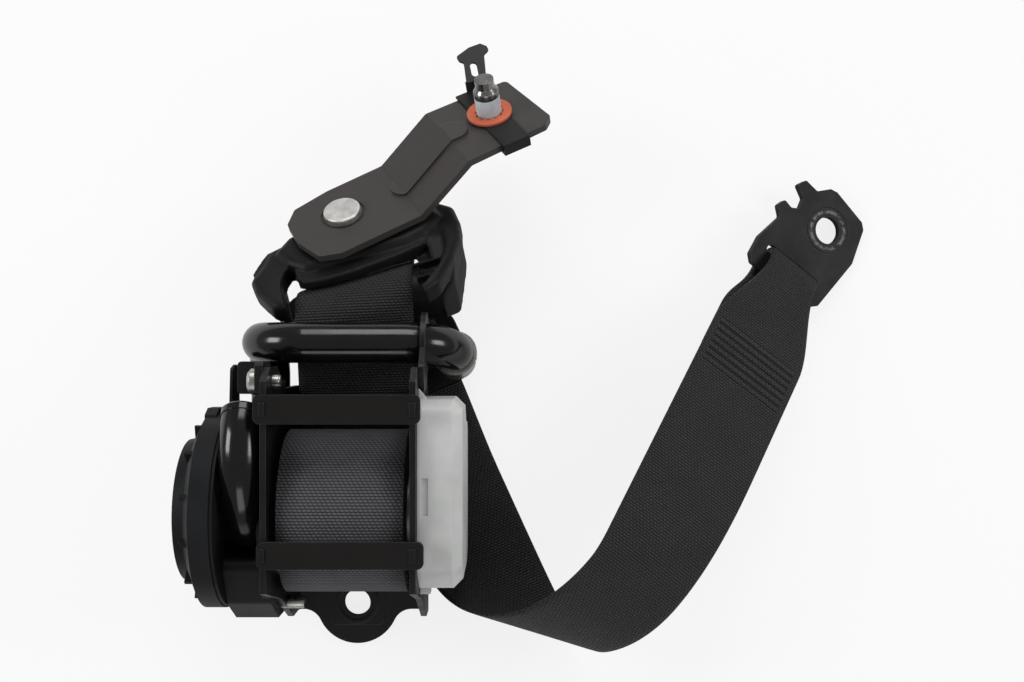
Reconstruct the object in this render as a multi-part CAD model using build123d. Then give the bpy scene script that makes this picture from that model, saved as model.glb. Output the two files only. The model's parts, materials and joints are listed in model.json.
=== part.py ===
from build123d import *
import os
from math import acos, asin, atan2, cos, hypot, radians, sin, sqrt, tan

# A three-point front seat belt with a pyrotechnic retractor, laid out on a table.
# Lengths are in millimetres and angles in degrees.
# Most pieces are drawn in the retractor's own frame: x across the webbing, y up the
# frame, z out from the mounting face, with the origin at the mounting hole.
# The whole retractor then leans back by LEAN, and Z is square to the table.

LEAN = 9.0
TABLE_Z = -3.1
GAP = 0.3

# Webbing
WEB_WIDTH = 47.0
WEB_THICK = 1.2

# Retractor frame
PLATE = 2.3
WEB_SIDE_ROOM = 2.8
FRAME_INNER = WEB_WIDTH + 2 * WEB_SIDE_ROOM
FRAME_MID_X = 1.6
FRAME_LOW_Y = -2.9
FRAME_TOP_Y = 92.0
FRAME_DEPTH = 74.0
EAR_TOP_Y = 101.0
EAR_Z = (52.0, 66.0)
BEND_INNER = 2.0
TAB_RADIUS = 17.4
TAB_BLEND = 8.0
MOUNT_BORE_R = 5.5
PAD_WIDTH = 22.0
PAD_LOW_Y = -9.5
PAD_TOP_Y = 12.0
PAD_HEIGHT = 0.6
RING_OUTER_R = 9.0
RING_INNER_R = 7.4
WINDOW = (24.0, 14.0)
WINDOW_Y = 76.0
BUSH_HOLE_R = 17.0

# Tie bars
UPPER_BAR_Y = (80.4, 91.2)
LOWER_BAR_Y = (27.4, 37.4)
UPPER_BAR_PAST = (2.1, 1.8)
LOWER_BAR_PAST = (0.8, 3.0)
BAR_CORNER_R = 2.4
TENON = 5.0
TENON_PROUD = 0.5

# Spool and what turns with it
SPOOL_Y = 44.5
ROLL_BACK_ROOM = 4.2
ROLL_FRONT_ROOM = 3.5
ROLL_R = (FRAME_DEPTH - PLATE - ROLL_BACK_ROOM - ROLL_FRONT_ROOM) / 2
SPOOL_Z = PLATE + ROLL_BACK_ROOM + ROLL_R
HUB_R = 13.0
JOURNAL_R = 10.7
SPOOL_BORE_R = 5.4
TORSION_HEAD_R = 5.2
TORSION_SHANK_R = 3.8
LEFT_SHAFT_R = 4.5
RIGHT_SHAFT_R = 7.0
RATCHET_TEETH = 24
RATCHET_TIP_R = 22.0
RATCHET_ROOT_R = 19.4
RATCHET_THICK = 3.4
FLYWHEEL_R = 18.6
FLYWHEEL_THICK = 2.5
PINION_TIP_R = 11.5
PINION_POCKETS = 6
ARBOR_R = 5.6

# Locking pawl
PAWL_PIVOT = (SPOOL_Y + 27.4, SPOOL_Z - 14.6)
PAWL_PIN_R = 2.4
PAWL_THICK = 3.2
PAWL_TIP_R = 23.1
PAWL_TIP_ANGLE = 10.0

# Tilt sensor
BALL_R = 3.0
BALL_X = 42.0
BALL_Y = 29.0
BALL_Z = 36.0
LEVER_PIVOT_Z = 47.0
LEVER_THICK = 1.2
LEVER_PIN_R = 1.0

# Mechanism cover, on the right
COVER_RIGHT_X = 47.0
COVER_WALL = 1.5
COVER_CHAMFER = 3.6
COVER_Y = (17.0, 89.0)
COVER_Z = (6.0, 70.0)

# Pretensioner tube
TUBE_R = 8.0
TUBE_BORE_R = 6.0
TUBE_RUN_Y = 110.2
TUBE_RUN_Z = 44.2
TUBE_RIGHT_OUT = 11.9
TUBE_LOOP_OUT = 8.6
TUBE_ELBOW_R = 20.0
TUBE_BACK_R = 16.0
TUBE_BACK_Z = 8.2
LOOP_R = 29.4
LOOP_Y = 66.0
TUBE_END_TURN = 32.0
GENERATOR_DIP = 12.0
BALL_COUNT = 8
DRIVE_BALL_R = 5.6
BALL_SPACE = 0.15
FIRST_BALL_TURN = 52.0
GENERATOR_R = 8.4
GENERATOR_LONG = 15.0

# Screws
SCREW_HEAD_R = 4.9
SCREW_HEAD = 3.4
SCREW_R = 2.4
UPPER_SCREW = (95.6, 62.0)
LOWER_SCREW = (23.0, 47.0)
THIRD_SCREW = (6.0, 30.0)

# Spring cover, on the left
SPRING_COVER_R = 38.0
SPRING_COVER_OUT = 18.3
SPRING_COVER_DEEP = 18.3
SPRING_PLATE_THICK = 1.2
SPRING_WALL = 1.6
SPRING_TURNS = 6

# Pillar loop and its pivot, with its plane given in the retractor's frame
RIVET_AT = (-3.97, 160.7, 12.5)
LOOP_NORMAL = (-0.128, 0.696, 0.70)
SLOT_ALONG = (0.963, 0.258, -0.080)
GUIDE_R = 11.5
GUIDE_AT = (0.5, 123.2, 20.8)
GUIDE_SHIFT = 1.5
LOOP_STEEL = 3.0
RIM_FRONT_W = -3.2
RECESS_FLOOR_W = -8.6
RIVET_HEAD_R = 7.75
RIVET_HEAD = 2.6
RIVET_R = 6.0
WAVE = 0.7

# Offset bracket
BRACKET_ALONG = (0.873, 0.417, -0.255)
BRACKET = 3.0
BRACKET_RISE = 16.4
LOWER_END_U = -22.0
LOWER_BEND_U = 26.5
UPPER_BEND_U = 51.0
UPPER_END_U = 92.5
BOLT_U = 72.5
BOLT_V = 1.0
BOLT_R = 5.0
BOLT_NECK_R = 4.3
BOLT_PROUD = 12.0
BOLT_THREAD = 10.4
BOLT_HOLE_R = 5.6
BOLT_HEX = 15.0
CLIP_WIDTH = 12.0
CLIP_THICK = 1.0
TAB_RISE = 6.0
TAB_TILT = 27.0
WASHER_R = 9.5

# Latch tongue, on the strap
TONGUE_AT = (13.5, 104.0)
STRAP_HEADING = -65.3
TONGUE_STRAP_UP = 7.5
BLADE = 3.0
BLADE_END_Y = 56.0
GRIP_HALF = 31.5
GRIP_Y = (-21.5, 13.5)
TONGUE_SLOT_HALF = 24.4
CRANK_Y = (-13.0, 7.0)
CRANK_ANGLE = 24.0

# The strap's run: a point under it on the table, and its heading there
STRAP_REF = (19.95, 86.21)
TONGUE_RUN = (27.0, 10.0)
GUIDE_TURN = 104.0

# The strap's soft turn: how fast it bends, in degrees a millimetre, and the slope of the
# lines it bends about, both at even stations along it
TURN_START = 59.2
TURN_LENGTH = 155.0
TURN_RATE = (0.2, 2.25, 1.3, 1.12, 0.44)
TURN_SLOPE = (0.49, 1.13, 0.23, 0.13, 1.21)
FAN_EASE = 1.08
LAP_LENGTH = 45.0
STEP = 5.0

# Lower anchor plate
ANCHOR = 3.0
ANCHOR_BORE_R = 6.0
ANCHOR_STRAP_WIDTH = 25.0
ANCHOR_BAR = 8.0
ANCHOR_SLOT = 4.4
ANCHOR_LOOP_R = 5.8
ANCHOR_STRAP_THICK = 1.9
TAPER_LENGTH = 40.0
FOLD_BACK = 52.0
FOLD_WIDTH = 45.0
PLATE_CORNER = (18.0, 43.5)

SIDE_LEFT_X = FRAME_MID_X - FRAME_INNER / 2
SIDE_RIGHT_X = FRAME_MID_X + FRAME_INNER / 2
OUT_LEFT_X = SIDE_LEFT_X - PLATE
OUT_RIGHT_X = SIDE_RIGHT_X + PLATE
BAR_Z = FRAME_DEPTH
UPPER_BAR_X = (OUT_LEFT_X - UPPER_BAR_PAST[0], OUT_RIGHT_X + UPPER_BAR_PAST[1])
LOWER_BAR_X = (OUT_LEFT_X - LOWER_BAR_PAST[0], OUT_RIGHT_X + LOWER_BAR_PAST[1])
LOOP_Z = TUBE_BACK_Z + LOOP_R
TUBE_RIGHT_X = OUT_RIGHT_X + TUBE_RIGHT_OUT
TUBE_LOOP_X = OUT_LEFT_X - TUBE_LOOP_OUT
SPRING_COVER_START_X = OUT_LEFT_X - SPRING_COVER_OUT
SPRING_COVER_END_X = SPRING_COVER_START_X - SPRING_COVER_DEEP
RATCHET_X = OUT_RIGHT_X + 0.6
FLYWHEEL_X = RATCHET_X + RATCHET_THICK + 0.6
LEANING = Location((0, 0, 0), (LEAN, 0, 0))


def leaned(point):
    """A point or direction of the retractor's frame, turned into the table's."""
    return Vector(*point).rotate(Axis.X, LEAN)


def across(sketch, x_from, x_to):
    """Extrude a sketch drawn in y and z from one x to another."""
    return extrude(Plane.YZ.offset(x_from) * sketch, amount=x_to - x_from)


def rod(y, z, radius, x_from, x_to):
    """A round bar along x."""
    return across(Pos(y, z) * Circle(radius), x_from, x_to)


def upright(sketch, z_from, z_to):
    """Extrude a sketch drawn in x and y from one height to another."""
    return extrude(Plane.XY.offset(z_from) * sketch, amount=z_to - z_from)


def outline(points, radius=0.0):
    """A closed face through the points, with its corners rounded."""
    face = make_face(Polyline(*points, close=True))
    return fillet(face.vertices(), radius) if radius else face


def span_box(x, y, z):
    """A box between two values on each axis."""
    return Pos(sum(x) / 2, sum(y) / 2, sum(z) / 2) * Box(x[1] - x[0], y[1] - y[0], z[1] - z[0])


def side_outline():
    """The side plate's outline in y and z."""
    points = [
        (FRAME_LOW_Y, 0),
        (FRAME_LOW_Y, 16),
        (10, 44),
        (18, FRAME_DEPTH),
        (96, FRAME_DEPTH),
        (EAR_TOP_Y, EAR_Z[1]),
        (EAR_TOP_Y, EAR_Z[0]),
        (FRAME_TOP_Y, 34),
        (FRAME_TOP_Y, 0),
    ]
    return make_face(Polyline(*points, close=True))


def retractor_frame():
    """A U of plate: a back with its mounting tab, two sides with staking tenons."""
    low, high = FRAME_LOW_Y - 1, EAR_TOP_Y + 1
    outer = span_box((OUT_LEFT_X, OUT_RIGHT_X), (low, high), (0, FRAME_DEPTH + 9))
    edges = outer.edges().filter_by(Axis.Y).group_by(Axis.Z)[0]
    outer = fillet(edges, BEND_INNER + PLATE)
    inner = span_box((SIDE_LEFT_X, SIDE_RIGHT_X), (low, high), (PLATE, FRAME_DEPTH + 9))
    edges = inner.edges().filter_by(Axis.Y).group_by(Axis.Z)[0]
    inner = fillet(edges, BEND_INNER)
    frame = (outer - inner) & across(side_outline(), OUT_LEFT_X - 1, OUT_RIGHT_X + 1)
    tab = Circle(TAB_RADIUS) + Pos(0, FRAME_LOW_Y + 6) * Rectangle(4 * TAB_RADIUS, 12)
    low_y = FRAME_LOW_Y
    inner_corners = [v for v in tab.vertices() if abs(v.Y - low_y) < 0.01 and abs(v.X) < TAB_RADIUS]
    tab = fillet(inner_corners, TAB_BLEND)
    keep = Pos(FRAME_MID_X, 0) * Rectangle(FRAME_INNER, 60)
    frame += upright(tab & keep, 0, PLATE)
    for bar in (LOWER_BAR_Y, UPPER_BAR_Y):
        mid = sum(bar) / 2
        for x in (OUT_LEFT_X, SIDE_RIGHT_X):
            top = BAR_Z + PLATE + TENON_PROUD
            frame += span_box((x, x + PLATE), (mid - TENON / 2, mid + TENON / 2), (BAR_Z - 1, top))
    pad_mid = (PAD_LOW_Y + PAD_TOP_Y) / 2
    pad = Pos(0, pad_mid) * RectangleRounded(PAD_WIDTH, PAD_TOP_Y - PAD_LOW_Y, 2)
    frame += upright(pad, PLATE, PLATE + PAD_HEIGHT)
    ring = Circle(RING_OUTER_R) - Circle(RING_INNER_R)
    frame += upright(ring, PLATE + PAD_HEIGHT, PLATE + 2 * PAD_HEIGHT)
    frame -= upright(Circle(MOUNT_BORE_R), -1, 2 * PLATE)
    window = Pos(FRAME_MID_X, WINDOW_Y) * RectangleRounded(*WINDOW, 4)
    frame -= upright(window, -1, 2 * PLATE)
    frame -= rod(SPOOL_Y, SPOOL_Z, BUSH_HOLE_R, OUT_LEFT_X - 1, OUT_RIGHT_X + 1)
    for y, z in (UPPER_SCREW, LOWER_SCREW, THIRD_SCREW):
        frame -= rod(y, z, SCREW_R + 0.05, OUT_LEFT_X - 1, SIDE_LEFT_X + 1)
    frame -= rod(*PAWL_PIVOT, PAWL_PIN_R + 0.05, SIDE_RIGHT_X - 1, OUT_RIGHT_X + 1)
    return frame


def tie_bar(x_span, y_span):
    """A flat bar over the open side, slotted over the side plates' tenons."""
    mid_y = sum(y_span) / 2
    shape = Pos(sum(x_span) / 2, mid_y) * RectangleRounded(
        x_span[1] - x_span[0], y_span[1] - y_span[0], BAR_CORNER_R
    )
    for x in (OUT_LEFT_X + PLATE / 2, SIDE_RIGHT_X + PLATE / 2):
        shape -= Pos(x, mid_y) * Rectangle(PLATE + 0.3, TENON + 0.3)
    return upright(shape, BAR_Z, BAR_Z + PLATE)


def spool_bush(inner_x, outer_x):
    """A flanged plastic bush in a side plate, its flange on the inner face."""
    side = 1 if inner_x > outer_x else -1
    low, high = sorted((inner_x, outer_x))
    bush = rod(SPOOL_Y, SPOOL_Z, BUSH_HOLE_R - 0.05, low, high)
    flange = sorted((inner_x, inner_x + side * 1.2))
    bush += rod(SPOOL_Y, SPOOL_Z, BUSH_HOLE_R + 2.4, *flange)
    return bush - rod(SPOOL_Y, SPOOL_Z, JOURNAL_R + GAP, low - 3, high + 3)


def spool_core():
    """The hub that the webbing winds on, with its journals and end shafts."""
    hub = rod(SPOOL_Y, SPOOL_Z, HUB_R, SIDE_LEFT_X + 1.7, SIDE_RIGHT_X - 1.7)
    hub += rod(SPOOL_Y, SPOOL_Z, JOURNAL_R, OUT_LEFT_X - 0.4, OUT_RIGHT_X + 0.4)
    left_end = SPRING_COVER_START_X - 5
    hub += rod(SPOOL_Y, SPOOL_Z, LEFT_SHAFT_R, left_end, OUT_LEFT_X)
    right_end = FLYWHEEL_X + FLYWHEEL_THICK
    hub += rod(SPOOL_Y, SPOOL_Z, RIGHT_SHAFT_R, OUT_RIGHT_X, right_end)
    return hub - rod(SPOOL_Y, SPOOL_Z, SPOOL_BORE_R, SIDE_LEFT_X + 5, right_end + 1)


def torsion_bar():
    """The load limiter: a bar with a head at each end, inside the hub."""
    left, right = SIDE_LEFT_X + 5.2, FLYWHEEL_X
    bar = rod(SPOOL_Y, SPOOL_Z, TORSION_SHANK_R, left, right)
    bar += rod(SPOOL_Y, SPOOL_Z, TORSION_HEAD_R, left, left + 9)
    return bar + rod(SPOOL_Y, SPOOL_Z, TORSION_HEAD_R, right - 9, right)


def webbing_roll():
    """The wound webbing: its last turn steps down where the strap leaves it."""
    mid = FRAME_MID_X
    roll = rod(SPOOL_Y, SPOOL_Z, ROLL_R, mid - WEB_WIDTH / 2, mid + WEB_WIDTH / 2)
    return roll - rod(SPOOL_Y, SPOOL_Z, HUB_R + 0.1, mid - WEB_WIDTH, mid + WEB_WIDTH)


def polar(radius, angle):
    """A point in y and z at a radius and angle about the spool's axis."""
    return (
        SPOOL_Y + radius * cos(radians(angle)),
        SPOOL_Z + radius * sin(radians(angle)),
    )


def ratchet_wheel():
    """A saw-toothed wheel on the right shaft, held by the pawl when the belt locks."""
    pitch = 360 / RATCHET_TEETH
    first = PAWL_TIP_ANGLE + 0.45 * pitch
    points = []
    for tooth in range(RATCHET_TEETH):
        start = first + tooth * pitch
        points.append(polar(RATCHET_TIP_R, start))
        points.append(polar(RATCHET_TIP_R, start + 0.16 * pitch))
        points.append(polar(RATCHET_ROOT_R, start + 0.42 * pitch))
        points.append(polar(RATCHET_ROOT_R, start + 0.94 * pitch))
    wheel = across(make_face(Polyline(*points, close=True)), RATCHET_X, RATCHET_X + RATCHET_THICK)
    return wheel - rod(SPOOL_Y, SPOOL_Z, RIGHT_SHAFT_R + 0.05, RATCHET_X - 1, FLYWHEEL_X)


def flywheel():
    """The inertia disc that trips the lock on a fast pull."""
    end = FLYWHEEL_X + FLYWHEEL_THICK
    disc = rod(SPOOL_Y, SPOOL_Z, FLYWHEEL_R, FLYWHEEL_X, end)
    disc -= rod(SPOOL_Y, SPOOL_Z, RIGHT_SHAFT_R + 0.05, FLYWHEEL_X - 1, end + 1)
    for hole in range(6):
        y, z = polar(13, hole * 60)
        disc -= rod(y, z, 3.4, FLYWHEEL_X - 1, end + 1)
    return disc


def drive_pinion():
    """The pocketed wheel that the drive balls push round."""
    left = TUBE_LOOP_X - TUBE_BORE_R + 0.3
    right = TUBE_LOOP_X + TUBE_BORE_R - 0.3
    wheel = rod(SPOOL_Y, SPOOL_Z, PINION_TIP_R, left, right)
    for pocket in range(PINION_POCKETS):
        y, z = polar(PINION_TIP_R + 2.5, (pocket + 0.5) * 360 / PINION_POCKETS)
        wheel -= rod(y, z, DRIVE_BALL_R, left - 1, right + 1)
    return wheel - rod(SPOOL_Y, SPOOL_Z, LEFT_SHAFT_R + 0.05, left - 1, right + 1)


def spring_arbor():
    """The plastic arbor that the return spring winds on."""
    start, end = SPRING_COVER_START_X - 0.6, SPRING_COVER_END_X + SPRING_WALL + 3.5
    arbor = rod(SPOOL_Y, SPOOL_Z, ARBOR_R, end, start)
    arbor += rod(SPOOL_Y, SPOOL_Z, 8, end, end + 1)
    shaft_end = SPRING_COVER_START_X - 5
    return arbor - rod(SPOOL_Y, SPOOL_Z, LEFT_SHAFT_R + 0.05, shaft_end - 0.2, start + 1)


def return_spring():
    """A flat spiral strip, drawn as one band between two spirals."""
    start_r, end_r, strip = ARBOR_R + GAP, 24.0, 0.5
    steps = 16 * SPRING_TURNS
    inner, outer = [], []
    for step in range(steps + 1):
        radius = start_r + (end_r - start_r) * step / steps
        inner.append(polar(radius, step * 22.5))
        outer.append(polar(radius + strip, step * 22.5))
    band = make_face(Polyline(*inner, *reversed(outer), close=True))
    left = SPRING_COVER_END_X + 6.4
    return across(band, left, left + 10)


def locking_pawl():
    """The pawl that drops into the ratchet wheel, drawn at rest clear of it."""
    tip = polar(PAWL_TIP_R, PAWL_TIP_ANGLE)
    heel = polar(PAWL_TIP_R + 5, PAWL_TIP_ANGLE + 2)
    y, z = PAWL_PIVOT
    points = [
        tip,
        polar(PAWL_TIP_R + 0.6, PAWL_TIP_ANGLE + 5),
        heel,
        (y + 4.4, z + 3.4),
        (y + 4.6, z - 2),
        (y - 3.6, z - 1),
        (y - 4.6, z + 6),
        polar(PAWL_TIP_R + 2, PAWL_TIP_ANGLE - 3.5),
    ]
    arm = make_face(Polyline(*points, close=True)) + Pos(y, z) * Circle(5.2)
    arm -= Pos(y, z) * Circle(PAWL_PIN_R + 0.1)
    return across(arm, RATCHET_X + 0.1, RATCHET_X + 0.1 + PAWL_THICK)


def pawl_pin():
    """A headed pin through the right side plate."""
    end = RATCHET_X + PAWL_THICK + 0.4
    pin = rod(*PAWL_PIVOT, PAWL_PIN_R, SIDE_RIGHT_X, end + 0.2)
    return pin + rod(*PAWL_PIVOT, PAWL_PIN_R + 1.4, end, end + 1.2)


def sensor_housing():
    """The cup for the sensing ball, with a post that holds the lever's pin."""
    x = (BALL_X - 3.9, COVER_RIGHT_X - COVER_WALL)
    seat_y = BALL_Y - 0.6
    cup = span_box(x, (seat_y - 6, seat_y), (BALL_Z - 6, LEVER_PIVOT_Z - 3))
    cup += span_box(x, (seat_y - 6, BALL_Y + 8), (LEVER_PIVOT_Z - 3, LEVER_PIVOT_Z + 4))
    slot_x = (BALL_X - 2.7, BALL_X + 2.3)
    cup -= span_box(slot_x, (seat_y, BALL_Y + 9), (LEVER_PIVOT_Z - 4, LEVER_PIVOT_Z + 5))
    cup -= Pos(BALL_X, BALL_Y, BALL_Z) * Sphere(BALL_R + 0.1)
    pivot_y = BALL_Y + BALL_R + GAP + LEVER_THICK / 2
    cup -= rod(pivot_y, LEVER_PIVOT_Z, LEVER_PIN_R + 0.1, x[0] - 1, BALL_X + 3.3)
    return cup


def sensor_lever():
    """The lever that the ball lifts, with its pivot pin moulded on."""
    pivot_y = BALL_Y + BALL_R + GAP + LEVER_THICK / 2
    x = (BALL_X - 2.3, BALL_X + 1.9)
    y = (pivot_y - LEVER_THICK / 2, pivot_y + LEVER_THICK / 2)
    lever = span_box(x, y, (BALL_Z - 4, LEVER_PIVOT_Z))
    lever += rod(pivot_y, LEVER_PIVOT_Z, LEVER_PIN_R, BALL_X - 3.7, BALL_X + 3.1)
    return lever + rod(pivot_y, LEVER_PIVOT_Z, 1.7, *x)


def sensor_ball():
    """The steel ball that rolls out of its cup when the car tips or brakes."""
    return Pos(BALL_X, BALL_Y, BALL_Z) * Sphere(BALL_R)


def cover_outline():
    """The mechanism cover's outline in y and z, cut back for the gas generator."""
    y0, y1 = COVER_Y
    z0, z1 = COVER_Z
    points = [(y0 + 6, z0), (y0, z0 + 12), (y0, z1 - 12), (y0 + 8, z1), (y1 - 3, z1)]
    points += [(y1, z1 - 6), (y1, 34), (y1 - 8, 24), (y1 - 8, z0 + 8), (y1 - 14, z0)]
    return outline(points, 5)


def mechanism_cover():
    """The milky shell over the ratchet, with a clip recess and two locating spikes."""
    left = OUT_RIGHT_X + 0.1
    inner_x = COVER_RIGHT_X - COVER_WALL
    shell = across(cover_outline(), left, COVER_RIGHT_X)
    shell = chamfer(shell.edges().group_by(Axis.X)[-1], COVER_CHAMFER)
    hollow = across(offset(cover_outline(), -COVER_WALL, kind=Kind.INTERSECTION), left - 1, inner_x)
    hollow = chamfer(hollow.edges().group_by(Axis.X)[-1], COVER_CHAMFER - 0.6)
    shell -= hollow
    spike = upright(outline([(left, 86), (left, 93), (33.2, 89.6), (34, 86)]), 60, 62.5)
    shell += spike
    shell += span_box((left, left + 4), (COVER_Y[0] - 3, COVER_Y[0] + 0.5), (48, 54))
    clip = span_box((left + 1.5, left + 4), (46, 60), (COVER_Z[1] - 0.8, COVER_Z[1] + 1))
    return shell - clip


def tube_points():
    """The corners of the tube's route, from the gas generator to its end."""
    dip = radians(GENERATOR_DIP)
    loop_x = TUBE_LOOP_X
    lead = tan(radians(TUBE_END_TURN / 2)) * LOOP_R
    turn = radians(TUBE_END_TURN)
    front_z = LOOP_Z + LOOP_R
    low_y = LOOP_Y - LOOP_R
    start_y = TUBE_RUN_Y - (TUBE_ELBOW_R + 0.2) * sin(dip)
    start_z = TUBE_RUN_Z - (TUBE_ELBOW_R + 0.2) * cos(dip)
    end_y = LOOP_Y + lead + (lead + 0.2) * cos(turn)
    end_z = front_z - (lead + 0.2) * sin(turn)
    return [
        (TUBE_RIGHT_X, start_y, start_z),
        (TUBE_RIGHT_X, TUBE_RUN_Y, TUBE_RUN_Z),
        (loop_x, TUBE_RUN_Y, TUBE_RUN_Z),
        (loop_x, TUBE_RUN_Y, TUBE_BACK_Z),
        (loop_x, low_y - 0.1, TUBE_BACK_Z),
        (loop_x, low_y - 0.1, front_z + 0.1),
        (loop_x, LOOP_Y + lead, front_z + 0.1),
        (loop_x, end_y, end_z),
    ]


def tube_path():
    """The tube's centre line, straight runs joined by arcs."""
    radii = [TUBE_ELBOW_R, TUBE_ELBOW_R, TUBE_BACK_R - 0.2, LOOP_R, LOOP_R, LOOP_R]
    return FilletPolyline(*tube_points(), radius=radii)


def tube_solid(radius, bore=0.0):
    """A round bar or tube along the whole path."""
    path = tube_path()
    ring = Circle(radius) - Circle(bore) if bore else Circle(radius)
    start = Plane(origin=path @ 0, z_dir=path % 0)
    return sweep(start * ring, path=path)


def pretensioner_tube():
    """The bent tube, open towards the drive pinion where it passes the spool's axis."""
    tube = tube_solid(TUBE_R, TUBE_BORE_R)
    reach = PINION_TIP_R + 0.8
    return tube - rod(SPOOL_Y, SPOOL_Z, reach, TUBE_LOOP_X - 9, TUBE_LOOP_X + 9)


def ball_station(index, past=0.0):
    """A place in the tube: that of a drive ball, counted from the pinion, or a bit past."""
    path = tube_path()
    loop_length = LOOP_R * radians(180 + TUBE_END_TURN) + 0.2
    first = path.length - loop_length + LOOP_R * radians(FIRST_BALL_TURN)
    behind = index * (2 * DRIVE_BALL_R + BALL_SPACE) + past
    return Pos(path.position_at((first - behind) / path.length))


def drive_balls():
    """The row of balls that wait in the tube behind the pinion."""
    ball = Sphere(DRIVE_BALL_R)
    return Compound([ball_station(index) * ball for index in range(BALL_COUNT)])


def piston_seal():
    """The seal behind the last ball, in the tube's long run."""
    return ball_station(BALL_COUNT - 1, 2 * DRIVE_BALL_R + 0.4) * Sphere(DRIVE_BALL_R + 0.2)


def at_tube_end(ratio, sense):
    """A plane on the tube's end, facing out of it."""
    path = tube_path()
    return Plane(origin=path @ ratio, z_dir=(path % ratio) * sense)


def tube_end_cap():
    """The plug that closes the loop's end."""
    plane = at_tube_end(1, 1)
    cap = extrude(plane * Circle(TUBE_R + 0.3), amount=3.5)
    cap = chamfer(cap.edges().group_by(Axis(plane.origin, plane.z_dir))[-1], 1)
    return cap + extrude(plane * Circle(TUBE_BORE_R - 0.5), amount=-3)


def gas_generator():
    """The micro gas generator crimped into the tube's right end."""
    plane = at_tube_end(0, -1)
    body = extrude(plane * Circle(TUBE_R + 1.2), amount=3)
    body += extrude(plane * Circle(GENERATOR_R - 1), amount=GENERATOR_LONG)
    body += extrude(plane.offset(5) * Circle(GENERATOR_R), amount=GENERATOR_LONG - 5)
    return body + extrude(plane * Circle(TUBE_BORE_R - 0.5), amount=-3)


def connector_socket():
    """The plastic socket for the firing lead, with its keyed rim and two pins."""
    plane = at_tube_end(0, -1).offset(GENERATOR_LONG)
    body = extrude(plane * RectangleRounded(12, 12, 2.5), amount=6)
    body -= extrude(plane.offset(3.5) * RectangleRounded(8, 8, 1.5), amount=3)
    for side in (-1.7, 1.7):
        body += extrude(plane.offset(3.5) * Pos(side, 0) * Circle(0.6), amount=2)
    return body


def generator_bracket():
    """A pressed plate on the right ear that carries the tube's right elbow."""
    left, right = OUT_RIGHT_X, OUT_RIGHT_X + 2
    eye_y, eye_z = TUBE_RUN_Y - 0.5, TUBE_RUN_Z - 2.4
    plate = Pos(eye_y, eye_z) * Circle(TUBE_R + 4.4)
    plate += outline([(91.5, 44), (91.5, 58), (101, 62), (112, 50), (112, 36), (101, 38)], 2)
    return across(plate, left, right) - tube_solid(TUBE_R + 0.05)


def tube_clamp():
    """An angle plate under the upper screw that ties the tube's loop to the frame."""
    leg_x = (OUT_LEFT_X - 3.2, OUT_LEFT_X)
    leg = outline([(90.6, 53), (90.6, 68), (103, 68), (103, 53)], 2)
    clamp = across(leg, *leg_x)
    foot_x = leg_x[0] - 9
    foot = outline([(foot_x, 90.6), (foot_x, 103), (leg_x[1], 103), (leg_x[1], 90.6)], 1.5)
    clamp += upright(foot, 53, 55.4)
    clamp -= rod(*UPPER_SCREW, SCREW_R + 0.1, leg_x[0] - 1, leg_x[1] + 1)
    reach = rod(*UPPER_SCREW, SCREW_HEAD_R + 0.4, leg_x[0] - 12, leg_x[0])
    return clamp - reach


def frame_screw(place, seat_x, end_x):
    """A pan-headed screw along x with its head on the left."""
    screw = rod(*place, SCREW_HEAD_R, seat_x - SCREW_HEAD, seat_x)
    screw = chamfer(screw.edges().group_by(Axis.X)[0], 1.2)
    screw += rod(*place, SCREW_R, seat_x, end_x)
    cross = Rectangle(5.2, 1.3) + Rectangle(1.3, 5.2)
    drive = across(Pos(*place) * cross, seat_x - SCREW_HEAD - 1, seat_x - SCREW_HEAD + 1.6)
    return screw - drive


def housing_screws():
    """The three screws that hold the pretensioner to the left side plate."""
    low_seat = OUT_LEFT_X - 5.2
    screws = [
        frame_screw(UPPER_SCREW, OUT_LEFT_X - 3.2, SIDE_LEFT_X + 3.4),
        frame_screw(LOWER_SCREW, low_seat, SIDE_LEFT_X + 1.6),
        frame_screw(THIRD_SCREW, low_seat, SIDE_LEFT_X + 6.9),
    ]
    return Compound(screws)


def pretensioner_housing():
    """The moulded carrier between the left side plate and the tube's loop."""
    right = OUT_LEFT_X - 0.1
    plate = Pos(SPOOL_Y, SPOOL_Z) * Circle(26)
    plate += outline([(3, 20), (-1, 30), (4, 40), (15, 58), (40, 66), (60, 50), (50, 14), (20, 12)], 3)
    body = across(plate, right - 3, right)
    skirt = outline([(1, 22), (-1, 32), (10, 52), (27, 62), (33, 40), (27, 12), (12, 12)], 4)
    body += across(skirt, SPRING_COVER_START_X + SPRING_PLATE_THICK + 0.1, right)
    body -= tube_solid(TUBE_R + GAP)
    body -= rod(SPOOL_Y, SPOOL_Z, PINION_TIP_R + 0.8, -50, right + 1)
    seat_x = OUT_LEFT_X - 5.2
    for place in (LOWER_SCREW, THIRD_SCREW):
        body -= rod(*place, SCREW_R + 0.1, -50, right + 1)
        body -= rod(*place, SCREW_HEAD_R + 0.6, -50, seat_x)
    left = SPRING_COVER_START_X
    cut = upright(outline([(left, -4), (left, 1), (OUT_LEFT_X, 1), (OUT_LEFT_X, -4)]), 0, 80)
    return body - cut


def spring_plate():
    """The disc that closes the spring cover, with its hooked ear above the tube."""
    left, right = SPRING_COVER_START_X, SPRING_COVER_START_X + SPRING_PLATE_THICK
    face = Pos(SPOOL_Y, SPOOL_Z) * Circle(SPRING_COVER_R - 0.5)
    face += outline([(70, 28), (70, 44), (100, 41), (101.5, 35), (100, 30)], 1.5)
    return across(face, left, right) - rod(SPOOL_Y, SPOOL_Z, 6, left - 1, right + 1)


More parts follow.
